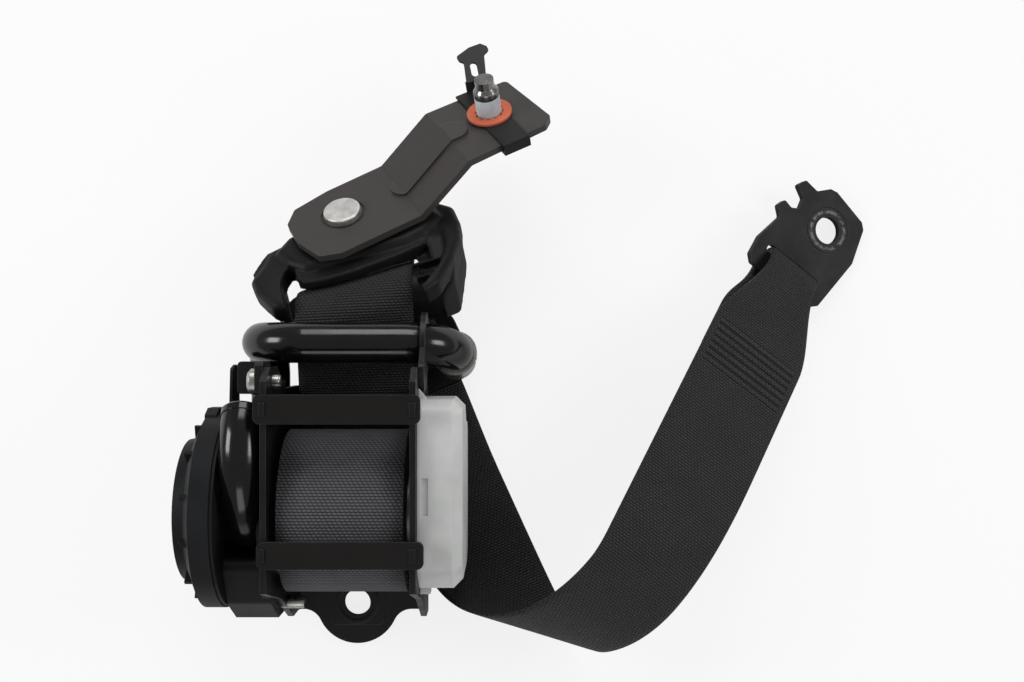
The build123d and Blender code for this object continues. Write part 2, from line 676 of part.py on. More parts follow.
def spring_cover():
    """The domed cover of the return spring, hollow, with ribs on its shoulder."""
    start = SPRING_COVER_START_X - 0.1
    end = SPRING_COVER_END_X
    rim = SPRING_COVER_R
    points = [(0, start), (rim, start), (rim, start - 7.6), (28.3, start - 12.2), (27.6, start - 16), (18, end), (0, end)]
    profile = make_face(Polyline(*points, close=True))
    wall = SPRING_WALL
    room = rim - wall - 0.2
    hollow = [(0, start + 1), (room, start + 1), (room, start - 6.6), (26.4, start - 11.2)]
    hollow += [(26, start - 14.6), (0, end + wall)]
    inner = make_face(Polyline(*hollow, close=True))
    place = Location((0, SPOOL_Y, SPOOL_Z), (0, 0, -90))
    dome = place * (revolve(profile, Axis.Y) - revolve(inner, Axis.Y))
    for angle in range(15, 360, 30):
        rib = Pos(0, 31.6) * Rectangle(1.6, 6)
        rib = Plane.YZ.offset(start - 12) * Pos(SPOOL_Y, SPOOL_Z) * Rot(Z=angle) * rib
        dome += extrude(rib, amount=6)
    lug = outline([(76, 30), (82, 29), (84.6, 34), (84.6, 43), (82, 48), (76, 47)], 1)
    return dome + across(lug, start - 8.2, start - 3.6)


def loop_plane():
    """The pillar loop's plane: x along its slot, y towards the pivot, z to the front."""
    return Plane(origin=RIVET_AT, x_dir=SLOT_ALONG, z_dir=LOOP_NORMAL)


def bracket_plane():
    """The offset bracket's plane at the pivot: x along the bracket, z to the front."""
    return Plane(origin=RIVET_AT, x_dir=BRACKET_ALONG, z_dir=LOOP_NORMAL)


def guide_centre():
    """The middle of the webbing guide, in the loop's own plane."""
    return loop_plane().to_local_coords(Vector(*GUIDE_AT))


def guide_bar(radius, half):
    """The round bar that the webbing turns over, in the loop's own plane."""
    at = guide_centre()
    bar = Pos(GUIDE_SHIFT, at.Y, at.Z) * Rot(Y=90) * Cylinder(radius, 2 * half)
    return fillet(bar.edges(), min(radius * 0.5, 6))


def loop_steel_face():
    """The steel plate's face round the pivot, its lower corners under the bracket."""
    return Circle(15.5) + outline([(-16, -15), (-14, 4), (14, 4), (19, -13)], 1.5)


def loop_rim():
    """The loop's outer outline, from the pivot down past both ends of the guide."""
    left = [(-22, 2), (-33.7, -2.2), (-37.4, -10), (-43.2, -17.5), (-41.8, -24.4), (-38.5, -31.5)]
    low = [(-35.6, -37.2), (-28, -38.6), (10, -50.5), (20.5, -51.6), (29.9, -46.6)]
    right = [(38.6, -34.2), (43.9, -23.2), (45.9, -13.8), (45.2, -3), (38.6, 3.3)]
    return outline(left + low + right, 3.6)


def strap_window():
    """The window under the lip, as wide as the strap and open towards the guide."""
    side = [(-30.8, -60), (-30.8, -24), (-28.8, -18.5), (-26.4, -14.5), (-24.6, -18)]
    lip = [(-24.2, -24), (-21.7, -28.2), (-13.2, -29.4), (-0.7, -28.7), (14.1, -26.3), (23.5, -25)]
    return make_face(Polyline(*side, *lip, (23.5, -60), close=True))


def rim_recess():
    """The sunken panel inside the right limb, open to the window."""
    near = [(18, -48), (24.5, -46), (32.4, -37), (36.8, -27), (38, -16.5)]
    far = [(35, -13.5), (31.5, -19), (27.5, -23.2), (18, -25.6)]
    return outline(near + far, 1.2)


def pillar_loop_body():
    """The moulded loop: a rounded rim and lip, two cheeks and the round webbing guide."""
    at = guide_centre()
    rim = upright(loop_rim(), -12, RIM_FRONT_W)
    rim = fillet(rim.edges().group_by(Axis.Z)[-1], 3)
    rim -= upright(strap_window(), -20, 2)
    rim -= upright(rim_recess(), RECESS_FLOOR_W, 2)
    for y in (-32, -40):
        rim += span_box((22, 36.5 + (y + 32) / 3), (y - 0.6, y + 0.6), (RECESS_FLOOR_W - 0.5, -4.6))
    pad = [(-31, -7), (-24, 1), (30, 2), (37, -2), (39, -10), (31, -18), (22, -21), (-20, -22), (-27, -16)]
    pad = upright(outline(pad, 3), -8.5, -0.4)
    body = rim + chamfer(pad.edges().group_by(Axis.Z)[-1], 1.6, 2.2)
    cheek = [(0, -8.4), (-2, -4), (-20, -4), (-33, -8), (-44, at.Z + 4)]
    cheek += [(-45.5, at.Z - 5), (-38, at.Z - 10.5), (-22, at.Z - 4)]
    cheek = outline(cheek, 3)
    cheeks = across(cheek, -46, -30.8) + across(cheek, 30, 46)
    plan = [(-42, -14), (-37, -6), (-33, -1), (38, -1), (44, -9), (44.6, -20), (37, -38), (26, -48)]
    plan += [(-24, -48), (-33, -38), (-34.6, -30), (-36.5, -23)]
    cheeks &= upright(outline(plan, 2), -40, 2)
    strap_room = Pos(-3, at.Y, at.Z) * Rot(Y=90) * Cylinder(GUIDE_R + GAP + WEB_THICK + 1, 55.6)
    body = (body - strap_room) + cheeks + guide_bar(GUIDE_R, 33)
    body -= upright(Circle(11.5), -12, 2)
    return body - upright(loop_steel_face(), -LOOP_STEEL, 0)


def pillar_loop_plate():
    """The steel plate inside the loop, with the pivot's hole."""
    return upright(loop_steel_face() - Circle(RIVET_R + 0.15), -LOOP_STEEL, 0)


def wave_washer():
    """The spring washer that keeps the pivot tight."""
    ring = Circle(12.2) - Circle(RIVET_R + 0.3)
    return upright(ring, 0.05, WAVE)


def offset_bracket():
    """A cranked plate from the pivot to the pillar bolt, with a raised rib."""
    low, rise = WAVE + 0.1, BRACKET_RISE
    top = low + BRACKET
    slope = atan2(rise, UPPER_BEND_U - LOWER_BEND_U)
    shift = BRACKET * tan(slope / 2)
    ends = (LOWER_END_U - 3, UPPER_END_U + 3)
    profile = [
        (ends[0], low),
        (LOWER_BEND_U + shift, low),
        (UPPER_BEND_U + shift, low + rise),
        (ends[1], low + rise),
        (ends[1], top + rise),
        (UPPER_BEND_U, top + rise),
        (LOWER_BEND_U, top),
        (ends[0], top),
    ]
    blank = extrude(Plane.XZ.offset(-26) * make_face(Polyline(*profile, close=True)), amount=52)
    bends = blank.edges().filter_by(Axis.Y)
    bends = [e for e in bends if ends[0] + 1 < e.center().X < ends[1] - 1]
    blank = fillet(bends, 2.2)
    plan = outline(
        [
            (-22, 8),
            (-16, 15.4),
            (0, 18.6),
            (26, 20),
            (UPPER_BEND_U, 19.6),
            (90, 19.6),
            (UPPER_END_U, -15.5),
            (88, -19.5),
            (UPPER_BEND_U, -21.6),
            (28, -21),
            (-10, -22.6),
            (-18.5, -19),
            (-22.6, -5),
        ],
        2.2,
    )
    bracket = blank & upright(plan, -2, 30)
    bead = Pos((LOWER_BEND_U + UPPER_BEND_U) / 2 + 3, 0) * SlotOverall(38, 12)
    proud = (Pos(0, 0, 1.3) * blank) & upright(bead, -2, 30)
    bracket += proud
    bracket -= upright(Circle(9.4) - Circle(8.2), top - 0.7, top + 1)
    bracket -= upright(Circle(RIVET_R + 0.02), -2, top + 1)
    return bracket - upright(Pos(BOLT_U, BOLT_V) * Circle(BOLT_HOLE_R), 0, 40)


def pivot_rivet():
    """The big rivet that joins the bracket to the loop and lets it swing."""
    top = WAVE + 0.1 + BRACKET
    rivet = upright(Circle(RIVET_HEAD_R), top, top + RIVET_HEAD)
    rivet = fillet(rivet.edges().group_by(Axis.Z)[-1], 0.7)
    rivet += upright(Circle(RIVET_R), -LOOP_STEEL - 0.3, top)
    return rivet + upright(Circle(RIVET_HEAD_R + 0.8), -LOOP_STEEL - 2.8, -LOOP_STEEL - 0.2)


def upper_top():
    """Height of the bracket's upper plate."""
    return WAVE + 0.1 + BRACKET + BRACKET_RISE


def locating_clip():
    """A strip clipped round the upper plate, with a headed tab that finds its slot."""
    top = upper_top()
    half = CLIP_WIDTH / 2
    under = top - BRACKET - CLIP_THICK
    v_low, v_high = -23.2, 21.4
    band = Pos(BOLT_U, (v_low + v_high) / 2) * Rectangle(CLIP_WIDTH, v_high - v_low)
    clip = upright(band, top, top + CLIP_THICK)
    edge_x = (BOLT_U - half, BOLT_U + half)
    clip += span_box(edge_x, (v_low, v_low + CLIP_THICK), (under, top))
    clip += span_box(edge_x, (v_low, v_low + 9), (under, under + CLIP_THICK))
    clip -= upright(Pos(BOLT_U, BOLT_V) * Circle(BOLT_HOLE_R), top - 1, top + 3)
    rise_x = (BOLT_U - 0.5, BOLT_U + 9)
    clip += span_box(rise_x, (16, v_high), (top, top + CLIP_THICK))
    clip += span_box(rise_x, (v_high - CLIP_THICK, v_high), (top, top + TAB_RISE))
    points = [(-0.4, 0), (3.4, 9.8), (2, 11.4), (2, 14), (8.9, 15.8)]
    points += [(14.4, 15.6), (16.4, 13.2), (16.2, 11), (13.3, 9.8), (9, 0)]
    tab = outline(points, 0.9) - Pos(5.9, 5) * Rot(Z=72) * SlotOverall(7, 3)
    tilt = radians(TAB_TILT)
    fold = (BOLT_U, v_high - CLIP_THICK, top + TAB_RISE - CLIP_THICK)
    sheet = Plane(origin=fold, x_dir=(1, 0, 0), z_dir=(0, -sin(tilt), cos(tilt)))
    return clip + extrude(sheet * tab, amount=CLIP_THICK)


def retaining_washer():
    """The toothed paper-like washer that keeps the bolt in the bracket."""
    low = upper_top() + CLIP_THICK
    washer = upright(Pos(BOLT_U, BOLT_V) * (Circle(WASHER_R) - Circle(BOLT_R + 0.35)), low, low + 1)
    for notch in range(12):
        cut = Rot(Z=notch * 30) * Pos(BOLT_R + 0.7, 0) * Circle(0.5)
        washer -= upright(Pos(BOLT_U, BOLT_V) * cut, low - 1, low + 2)
    return washer


def anchor_bolt():
    """The shoulderless pillar bolt: hex head behind, dog point in front."""
    under = upper_top() - BRACKET
    low = upper_top() + CLIP_THICK
    at = Pos(BOLT_U, BOLT_V)
    bolt = upright(at * RegularPolygon(BOLT_HEX / 2, 6, major_radius=False), under - 9, under - 2.5)
    bolt += upright(at * Circle(BOLT_HEX / 2 + 1.8), under - 3, under - 1.3)
    end = low + BOLT_PROUD
    bolt += upright(at * Circle(BOLT_NECK_R), under - 3, end - BOLT_THREAD)
    bolt += upright(at * Circle(BOLT_R), end - BOLT_THREAD, end)
    cone = loft([Plane.XY.offset(end) * at * Circle(BOLT_R), Plane.XY.offset(end + 1.4) * at * Circle(4)])
    return bolt + cone + upright(at * Circle(4), end + 1.4, end + 5)


def in_tongue_frame(shape):
    """Place a shape drawn about the tongue's slot: y towards the blade's tip."""
    return Location((*TONGUE_AT, TABLE_Z), (0, 0, STRAP_HEADING + 90)) * shape


def crank_z(y):
    """Height of the plate's middle: flat at the blade, cranked up, then level again."""
    rise = min(max(0.0, CRANK_Y[1] - y), CRANK_Y[1] - CRANK_Y[0])
    return BLADE / 2 + 0.1 + rise * tan(radians(CRANK_ANGLE))


def tongue_profile(below, above, y_from, y_to):
    """A side view band along the cranked plate, as an outline in y and z."""
    stations = [y_from] + [y for y in CRANK_Y if y_from < y < y_to] + [y_to]
    under = [(y, crank_z(y) - below) for y in stations]
    over = [(y, crank_z(y) + above) for y in reversed(stations)]
    return make_face(Polyline(*under, *over, close=True))


def tongue_blade():
    """The steel tongue with its latch window and cranked slot frame."""
    half = BLADE / 2
    blank = across(tongue_profile(half, half, GRIP_Y[0] + 2.5, BLADE_END_Y), -GRIP_HALF, GRIP_HALF)
    tip = BLADE_END_Y
    half_plan = [(6, tip), (12.5, tip - 7), (12.5, 15), (28.6, 11), (28.6, -19)]
    plan = outline(half_plan + [(-x, y) for x, y in reversed(half_plan)], 2)
    plan -= Pos(0, 37) * RectangleRounded(14, 15, 2)
    plan -= Pos(0, -5) * RectangleRounded(2 * TONGUE_SLOT_HALF, 15.4, 1.2)
    return blank & upright(plan, -5, 40)


def tongue_grip():
    """The moulded grip round the slot frame, with a rim round a sunken panel."""
    body = across(tongue_profile(3.0, 2.8, GRIP_Y[0], GRIP_Y[1]), -GRIP_HALF - 1, GRIP_HALF + 1)
    mid = sum(GRIP_Y) / 2
    plan = Pos(0, mid) * RectangleRounded(2 * GRIP_HALF, GRIP_Y[1] - GRIP_Y[0], 9)
    body &= upright(plan, 0.25, 40)
    thin = Pos(0, 5.2) * Rectangle(2 * TONGUE_SLOT_HALF, 6.4)
    body -= upright(thin, crank_z(3) + BLADE / 2 + 0.6, 40)
    body -= upright(Pos(0, -17) * Rectangle(2 * TONGUE_SLOT_HALF, 11), -1, crank_z(-12.6) - BLADE / 2 - 0.4)
    body -= upright(Pos(0, -5) * RectangleRounded(2 * TONGUE_SLOT_HALF - 0.2, 15.2, 1), -5, 40)
    for side in (-1, 1):
        panel = Pos(side * 28, -4) * RectangleRounded(4, 22, 1.8)
        sunk = across(tongue_profile(-2.5, 9, GRIP_Y[0] - 1, GRIP_Y[1] + 1), -40, 40)
        body -= upright(panel, -5, 40) & sunk
    return body - tongue_blade()


def ruling(point, along, up, slope=0.0, width=WEB_WIDTH, thick=WEB_THICK):
    """One crosswise line of the strap: where it is, which way it lies and its size."""
    line = (along.cross(up) + along * slope).normalized()
    return (point, line, up, width / 2 * hypot(1, slope), thick)


def blend(values, share):
    """Read evenly spaced values at a share of their span."""
    place = share * (len(values) - 1)
    index = min(int(place), len(values) - 2)
    return values[index] + (values[index + 1] - values[index]) * (place - index)


def curl(state, length, rates=(0, 0), slopes=(0, 0)):
    """A stretch that bends away from its upper face about slanted crosswise lines."""
    point, along, up = state
    count = max(3, round(length / STEP))
    step = length / count
    lines = []
    for index in range(count):
        share = (index + 0.5) / count
        slope = blend(slopes, share)
        point = point + along * (step / 2)
        lines.append(ruling(point, along, up, slope))
        axis = Axis((0, 0, 0), along.cross(up) + along * slope)
        bend = blend(rates, share) * step
        along, up = along.rotate(axis, -bend), up.rotate(axis, -bend)
        point = point + along * (step / 2)
    return lines, (point, along, up)


def free_span(state, target, count, ease=0.4):
    """A stretch that leaves one place and heading and arrives at another."""
    start, along, up = state
    end, end_along, end_up = target
    reach = (end - start).length * ease
    a, b = start + along * reach, end - end_along * reach
    lines = []
    for index in range(1, count):
        t = index / count
        point = start * (1 - t) ** 3 + a * (3 * t * (1 - t) ** 2)
        point = point + b * (3 * t * t * (1 - t)) + end * t**3
        heading = (a - start) * (3 * (1 - t) ** 2) + (b - a) * (6 * t * (1 - t)) + (end - b) * (3 * t * t)
        heading = heading.normalized()
        mix = along.cross(up) * (1 - t) + end_along.cross(end_up) * t
        lines.append(ruling(point, heading, mix.cross(heading).normalized()))
    return lines


def strap_start():
    """Where the strap leaves the roll, on the straight line that just meets the guide."""
    span_y, span_z = GUIDE_AT[1] - SPOOL_Y, GUIDE_AT[2] - SPOOL_Z
    clear = GAP + WEB_THICK / 2
    reach = ROLL_R + GUIDE_R + 2 * clear
    slope = atan2(span_z, span_y) + asin(reach / hypot(span_y, span_z))
    off = ROLL_R + clear
    point = (FRAME_MID_X, SPOOL_Y + off * sin(slope), SPOOL_Z - off * cos(slope))
    return leaned(point), leaned((0, cos(slope), sin(slope))), leaned((0, -sin(slope), cos(slope)))


def guide_wrap():
    """The strap's turn over the pillar loop's guide, and how it arrives there."""
    start, along, up = strap_start()
    bar = leaned(SLOT_ALONG).normalized()
    over = bar.cross(along).normalized()
    radius = GUIDE_R + GAP + WEB_THICK / 2
    arrive = (leaned(GUIDE_AT) + over * radius, along, over)
    slope = bar.dot(along) / sqrt(1 - bar.dot(along) ** 2)
    length = radians(GUIDE_TURN) * radius * hypot(1, slope)
    rate = GUIDE_TURN / length
    wrap, state = curl(arrive, length, (rate, rate), (slope, slope))
    return arrive, wrap, state


def strap_lines():
    """The strap's crosswise lines, from the roll to where it begins to narrow."""
    start = strap_start()
    arrive, wrap, state = guide_wrap()
    lines = [ruling(*start)] + free_span(start, arrive, 8) + wrap
    heading = Vector(cos(radians(STRAP_HEADING)), sin(radians(STRAP_HEADING)), 0)
    down = Vector(0, 0, -1)
    tongue = Vector(*TONGUE_AT, TABLE_Z + TONGUE_STRAP_UP)
    landing = (tongue - heading * TONGUE_RUN[0], heading, down)
    lines += free_span(state, landing, 14, 0.55)
    run, state = curl(landing, sum(TONGUE_RUN))
    lines += run
    level = Vector(*STRAP_REF, TABLE_Z + GAP + WEB_THICK / 2)
    fan = WEB_WIDTH / 2 * FAN_EASE
    first_fan, last_fan = fan * TURN_SLOPE[0], fan * TURN_SLOPE[-1]
    on_table = (level + heading * (TURN_START - first_fan), heading, down)
    lines += free_span(state, on_table, 9)
    lead, state = curl(on_table, first_fan, (0, 0), (0, TURN_SLOPE[0]))
    turn, state = curl(state, TURN_LENGTH, TURN_RATE, TURN_SLOPE)
    trail, state = curl(state, last_fan, (0, 0), (TURN_SLOPE[-1], 0))
    lap, state = curl(state, LAP_LENGTH)
    return lines + lead + turn + trail + lap, state


def anchor_frame():
    """The strap's folded end, its heading and face, and the middle of the slot's bar."""
    _, (point, along, up) = strap_lines()
    end = point + along * TAPER_LENGTH
    return end, along, up, end - up * ANCHOR_LOOP_R


def anchor_lines():
    """The last stretch: it narrows, turns round the slot bar and lies back under itself."""
    lines, (point, along, up) = strap_lines()
    narrow, folded = ANCHOR_STRAP_WIDTH, ANCHOR_STRAP_THICK
    for index in range(1, 8):
        share = index / 7
        width = WEB_WIDTH + (narrow - WEB_WIDTH) * (3 * share**2 - 2 * share**3)
        thick = WEB_THICK + (folded - WEB_THICK) * share
        lines.append(ruling(point + along * (TAPER_LENGTH * share), along, up, 0.0, width, thick))
    end, _, _, centre = anchor_frame()
    bar = Axis((0, 0, 0), along.cross(up))
    for index in range(1, 13):
        spoke, heading = up.rotate(bar, -15 * index), along.rotate(bar, -15 * index)
        lines.append(ruling(centre + spoke * ANCHOR_LOOP_R, heading, spoke, 0.0, narrow, folded))
    close = (WEB_THICK + folded) / 2 + GAP
    for index in range(1, 9):
        share = index / 8
        ease = min(1.0, share / 0.6)
        ease = 3 * ease**2 - 2 * ease**3
        depth = 2 * ANCHOR_LOOP_R * (1 - ease) + close * ease
        width = narrow + (FOLD_WIDTH - narrow) * ease
        thick = folded + (WEB_THICK - folded) * ease
        back = end - along * (FOLD_BACK * share) - up * depth
        lines.append(ruling(back, along * -1, up * -1, 0.0, width, thick))
    return lines


def strap_section(line):
    """The strap's thin rectangle on one crosswise line."""
    point, cross_dir, up, half, thick = line
    side, face = cross_dir.normalized() * half, up.normalized() * (thick / 2)
    corners = [point - side - face, point + side - face, point + side + face, point - side + face]
    return Wire.make_polygon(corners)


def webbing():
    """The free strap in one piece, lofted through its crosswise lines."""
    return Solid.make_loft([strap_section(line) for line in anchor_lines()], ruled=True)


def anchor_plate_plane():
    """The plate's plane, swung down about its slot bar until a corner meets the table."""
    _, along, up, centre = anchor_frame()
    side = along.cross(up)
    corner_x, corner_y = PLATE_CORNER
    drop = centre.Z + corner_x * side.Z - ANCHOR / 2 - GAP - TABLE_Z
    lean = acos(-drop / corner_y / hypot(along.Z, up.Z)) - atan2(up.Z, along.Z)
    heading = along * cos(lean) - up * sin(lean)
    return Plane(origin=centre, x_dir=side, z_dir=side.cross(heading))


def lower_anchor_plate():
    """The sill plate: slot bar, bolt hole with its pressed ring, and a hooked notch."""
    points = [
        (-19.9, -1),
        (-17, -ANCHOR_BAR / 2),
        (16.5, -ANCHOR_BAR / 2),
        (20, -1),
        (24, 24.9),
        (20.5, 41),
        (18, 43.5),
        (0.5, 47.2),
        (-3, 46.5),
        (-8, 41.5),
        (-15.2, 42.2),
        (-17.6, 38),
        (-11.8, 34.6),
        (-11, 29.6),
        (-14.5, 27.6),
        (-19, 28.6),
        (-20.6, 24.6),
        (-16.8, 21),
        (-20.4, 8),
    ]
    plate = outline(points, 1.2)
    slot_mid = ANCHOR_BAR / 2 + ANCHOR_SLOT / 2
    plate -= Pos(0, slot_mid) * RectangleRounded(ANCHOR_STRAP_WIDTH + 4, ANCHOR_SLOT, 2)
    plate -= Pos(5.7, 30) * Circle(ANCHOR_BORE_R)
    half = ANCHOR / 2
    shape = upright(plate, -half, half)
    ring = Circle(ANCHOR_BORE_R + 4.6) - Circle(ANCHOR_BORE_R + 3.9)
    return shape - upright(Pos(5.7, 30) * ring, half - 0.4, half + 1)


def in_loop(shape):
    """Place a shape drawn in the pillar loop's plane."""
    return loop_plane().location * shape


def in_bracket(shape):
    """Place a shape drawn in the bracket's plane."""
    return bracket_plane().location * shape


def leaning_pieces():
    """Every piece drawn in the retractor's own frame, by node name."""
    return {
        "retractor_frame": retractor_frame(),
        "upper_tie_bar": tie_bar(UPPER_BAR_X, UPPER_BAR_Y),
        "lower_tie_bar": tie_bar(LOWER_BAR_X, LOWER_BAR_Y),
        "spool_bush_left": spool_bush(SIDE_LEFT_X, OUT_LEFT_X),
        "spool_bush_right": spool_bush(SIDE_RIGHT_X, OUT_RIGHT_X),
        "spool_core": spool_core(),
        "torsion_bar": torsion_bar(),
        "webbing_roll": webbing_roll(),
        "ratchet_wheel": ratchet_wheel(),
        "flywheel": flywheel(),
        "drive_pinion": drive_pinion(),
        "spring_arbor": spring_arbor(),
        "return_spring": return_spring(),
        "locking_pawl": locking_pawl(),
        "pawl_pin": pawl_pin(),
        "sensor_housing": sensor_housing(),
        "sensor_lever": sensor_lever(),
        "sensor_ball": sensor_ball(),
        "mechanism_cover": mechanism_cover(),
        "pretensioner_tube": pretensioner_tube(),
        "drive_balls": drive_balls(),
        "piston_seal": piston_seal(),
        "tube_end_cap": tube_end_cap(),
        "gas_generator": gas_generator(),
        "connector_socket": connector_socket(),
        "generator_bracket": generator_bracket(),
        "tube_clamp": tube_clamp(),
        "housing_screws": housing_screws(),
        "pretensioner_housing": pretensioner_housing(),
        "spring_plate": spring_plate(),
        "spring_cover": spring_cover(),
        "pillar_loop_body": in_loop(pillar_loop_body()),
        "pillar_loop_plate": in_loop(pillar_loop_plate()),
        "wave_washer": in_loop(wave_washer()),
        "offset_bracket": in_bracket(offset_bracket()),
        "pivot_rivet": in_bracket(pivot_rivet()),
        "locating_clip": in_bracket(locating_clip()),
        "retaining_washer": in_bracket(retaining_washer()),
        "anchor_bolt": in_bracket(anchor_bolt()),
    }


def pieces():
    """All pieces in the table's frame, by node name."""
    made = {name: LEANING * shape for name, shape in leaning_pieces().items()}
    made["tongue_blade"] = in_tongue_frame(tongue_blade())
    made["tongue_grip"] = in_tongue_frame(tongue_grip())
    made["webbing"] = webbing()
    made["lower_anchor_plate"] = anchor_plate_plane().location * lower_anchor_plate()
    return made


if __name__ == "__main__":
    os.makedirs("parts", exist_ok=True)
    for name, shape in pieces().items():
        export_step(shape, f"parts/{name}.step")
        print(name, round(shape.volume, 1), "mm3")
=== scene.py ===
# %% [markdown]
# # A seat belt, dressed for its picture
# A front seat belt lies on a pale table: the retractor with its wound webbing, the long
# strap, the pillar loop on its bracket, the tongue and the sill plate. The rigid model
# of it comes in first and is never changed. Every piece made here lies over that model,
# or stands in for one of its nodes. Lengths are in metres, as in the model.

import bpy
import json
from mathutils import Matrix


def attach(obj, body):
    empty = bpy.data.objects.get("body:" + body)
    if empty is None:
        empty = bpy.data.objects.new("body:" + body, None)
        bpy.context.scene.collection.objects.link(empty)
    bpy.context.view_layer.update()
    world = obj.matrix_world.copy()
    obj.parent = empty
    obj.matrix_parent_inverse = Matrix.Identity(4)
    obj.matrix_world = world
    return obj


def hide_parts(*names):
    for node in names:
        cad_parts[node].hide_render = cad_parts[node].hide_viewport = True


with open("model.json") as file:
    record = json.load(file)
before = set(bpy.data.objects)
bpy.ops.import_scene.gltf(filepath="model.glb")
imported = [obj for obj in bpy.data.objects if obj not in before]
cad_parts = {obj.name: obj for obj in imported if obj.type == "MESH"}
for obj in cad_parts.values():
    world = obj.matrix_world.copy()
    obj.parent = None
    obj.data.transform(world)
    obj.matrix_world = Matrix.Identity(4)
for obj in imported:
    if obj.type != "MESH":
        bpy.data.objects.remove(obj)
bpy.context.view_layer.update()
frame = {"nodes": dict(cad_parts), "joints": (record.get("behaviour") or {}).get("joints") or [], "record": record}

# %% Other modules and the unit
import json
from math import asin, atan2, cos, hypot, pi, radians, sin, sqrt

import bmesh
import bpy
from mathutils import Matrix, Quaternion, Vector

MM = 0.001


def in_mm(values):
    """A point's numbers in millimetres, rounded for printing."""
    return [round(value / MM, 1) for value in values]


# %% [markdown]
# ## The camera
# The belt was photographed from almost straight above, with the retractor lying on its
# back. A camera could be turned by hand until the picture fits, but the retractor's own
# frame makes it simpler: that frame leans by LEAN from the table, and the camera looks
# straight down its depth. So a place on the picture is a plain ratio of two lengths.

# %% Camera
LEAN = radians(9.0)
EYE = (65.5 * MM, 110.8 * MM, 525.0 * MM)
LENS = 43.3
NEAREST = 0.01

lean = Matrix.Rotation(LEAN, 4, "X")
camera = bpy.data.objects.new("camera", bpy.data.cameras.new("camera"))
camera.data.lens = LENS
camera.data.clip_start = NEAREST
camera.matrix_world = lean @ Matrix.Translation(EYE)
bpy.context.collection.objects.link(camera)
bpy.context.scene.camera = camera
print("camera at, mm:", in_mm(camera.matrix_world.translation))

# %% [markdown]
# ## Writing node trees
# A material is a tree of nodes joined by links. Written out in full, each node takes
# four or five lines, which hides the idea behind the finish. These helpers make a node
# and feed its inputs in one go: an input gets either a link or a plain value.

# %% Helpers for node trees
WHITE = (1.0, 1.0, 1.0, 1)


def node_material(name):
    """A new material, its node tree and its surface shader."""
    material = bpy.data.materials.new(name)
    material.use_nodes = True
    tree = material.node_tree
    return material, tree, tree.nodes["Principled BSDF"]


def feed(tree, socket, value):
    """Link an input to another node's output, or set it to a plain value."""
    if isinstance(value, bpy.types.NodeSocket):
        tree.links.new(value, socket)
    else:
        socket.default_value = value


def node_of(tree, kind, inputs=None, **settings):
    """A node with its settings made, and then its inputs fed by name or number."""
    node = tree.nodes.new("ShaderNode" + kind)
    for key, value in settings.items():
        setattr(node, key, value)
    for key, value in (inputs or {}).items():
        feed(tree, node.inputs[key], value)
    return node


def maths(tree, operation, first, second=0.0):
    """The result of one sum on outputs or plain numbers."""
    return node_of(tree, "Math", {0: first, 1: second}, operation=operation).outputs[0]


print("node helpers ready")

# %% [markdown]
# ## The table
# The belt lies on a white sheet. Enough lamp light to make the sheet white would wash
# out the black parts, so the plane keeps a pale colour of its own, and a plain white
# glow is mixed in for rays that come from the camera or through something clear. The
# belt gets only the soft light of the pale plane, and its shadow still falls there.

# %% Table
TABLE_Z = -3.1 * MM
TABLE_GAP = 0.2 * MM
TABLE_REACH = 4.0
TABLE_COLOUR = (0.86, 0.86, 0.86, 1)
TABLE_ROUGHNESS = 0.9
TABLE_GLOW = 0.82


def table_material():
    """A pale plane whose white glow is only seen, and never lights the belt."""
    material, tree, shader = node_material("pale_table")
    feed(tree, shader.inputs["Base Color"], TABLE_COLOUR)
    feed(tree, shader.inputs["Roughness"], TABLE_ROUGHNESS)
    path = node_of(tree, "LightPath").outputs
    seen = maths(tree, "MAXIMUM", path["Is Camera Ray"], path["Is Transmission Ray"])
    glow = node_of(tree, "Emission", {"Color": WHITE})
    share = maths(tree, "MULTIPLY", seen, TABLE_GLOW)
    mix = node_of(tree, "MixShader", {"Fac": share, 1: shader.outputs[0], 2: glow.outputs[0]})
    feed(tree, tree.nodes["Material Output"].inputs["Surface"], mix.outputs[0])
    return material


shape = bmesh.new()
bmesh.ops.create_grid(shape, x_segments=1, y_segments=1, size=TABLE_REACH)
mesh = bpy.data.meshes.new("table_top")
shape.to_mesh(mesh)
shape.free()
mesh.transform(Matrix.Translation((0, 0, TABLE_Z - TABLE_GAP)))
mesh.materials.append(table_material())
table_top = bpy.data.objects.new("table_top", mesh)
bpy.context.collection.objects.link(table_top)
print("table at", round(TABLE_Z / MM, 2), "mm")

# %% [markdown]
# ## The light
# Black parts show their shape only by what they reflect. One lamp straight above would
# lie as a single glare on the flat faces, so four soft square lamps stand round the
# belt and draw long pale streaks on the tube and the covers. A dim, even room fills in
# the rest, and is drawn brighter where the camera looks past the table.

# %% Lamps
LAMPS = {
    # name: place, point it looks at, side in metres, power in watts
    "back": ((0.05, 0.85, 0.60), (0.08, 0.09, 0.0), 0.5, 3.4),
    "left": ((-0.70, 0.20, 0.50), (0.05, 0.08, 0.0), 0.3, 2.6),
    "right": ((0.80, 0.15, 0.50), (0.10, 0.08, 0.0), 0.3, 2.2),
    "front": ((0.05, -0.75, 0.55), (0.08, 0.05, 0.0), 0.5, 1.6),
}
for name, (place, aim, size, power) in LAMPS.items():
    lamp = bpy.data.lights.new(name, "AREA")
    lamp.size = size
    lamp.energy = power
    holder = bpy.data.objects.new(name, lamp)
    holder.location = place
    towards = Vector(aim) - Vector(place)
    holder.rotation_euler = towards.to_track_quat("-Z", "Y").to_euler()
    bpy.context.collection.objects.link(holder)
print(len(LAMPS), "lamps")

# %% Room
ROOM_LIGHT = 0.30
SEEN_COLOUR = (0.8, 0.8, 0.8, 1)
SEEN_STRENGTH = 0.95

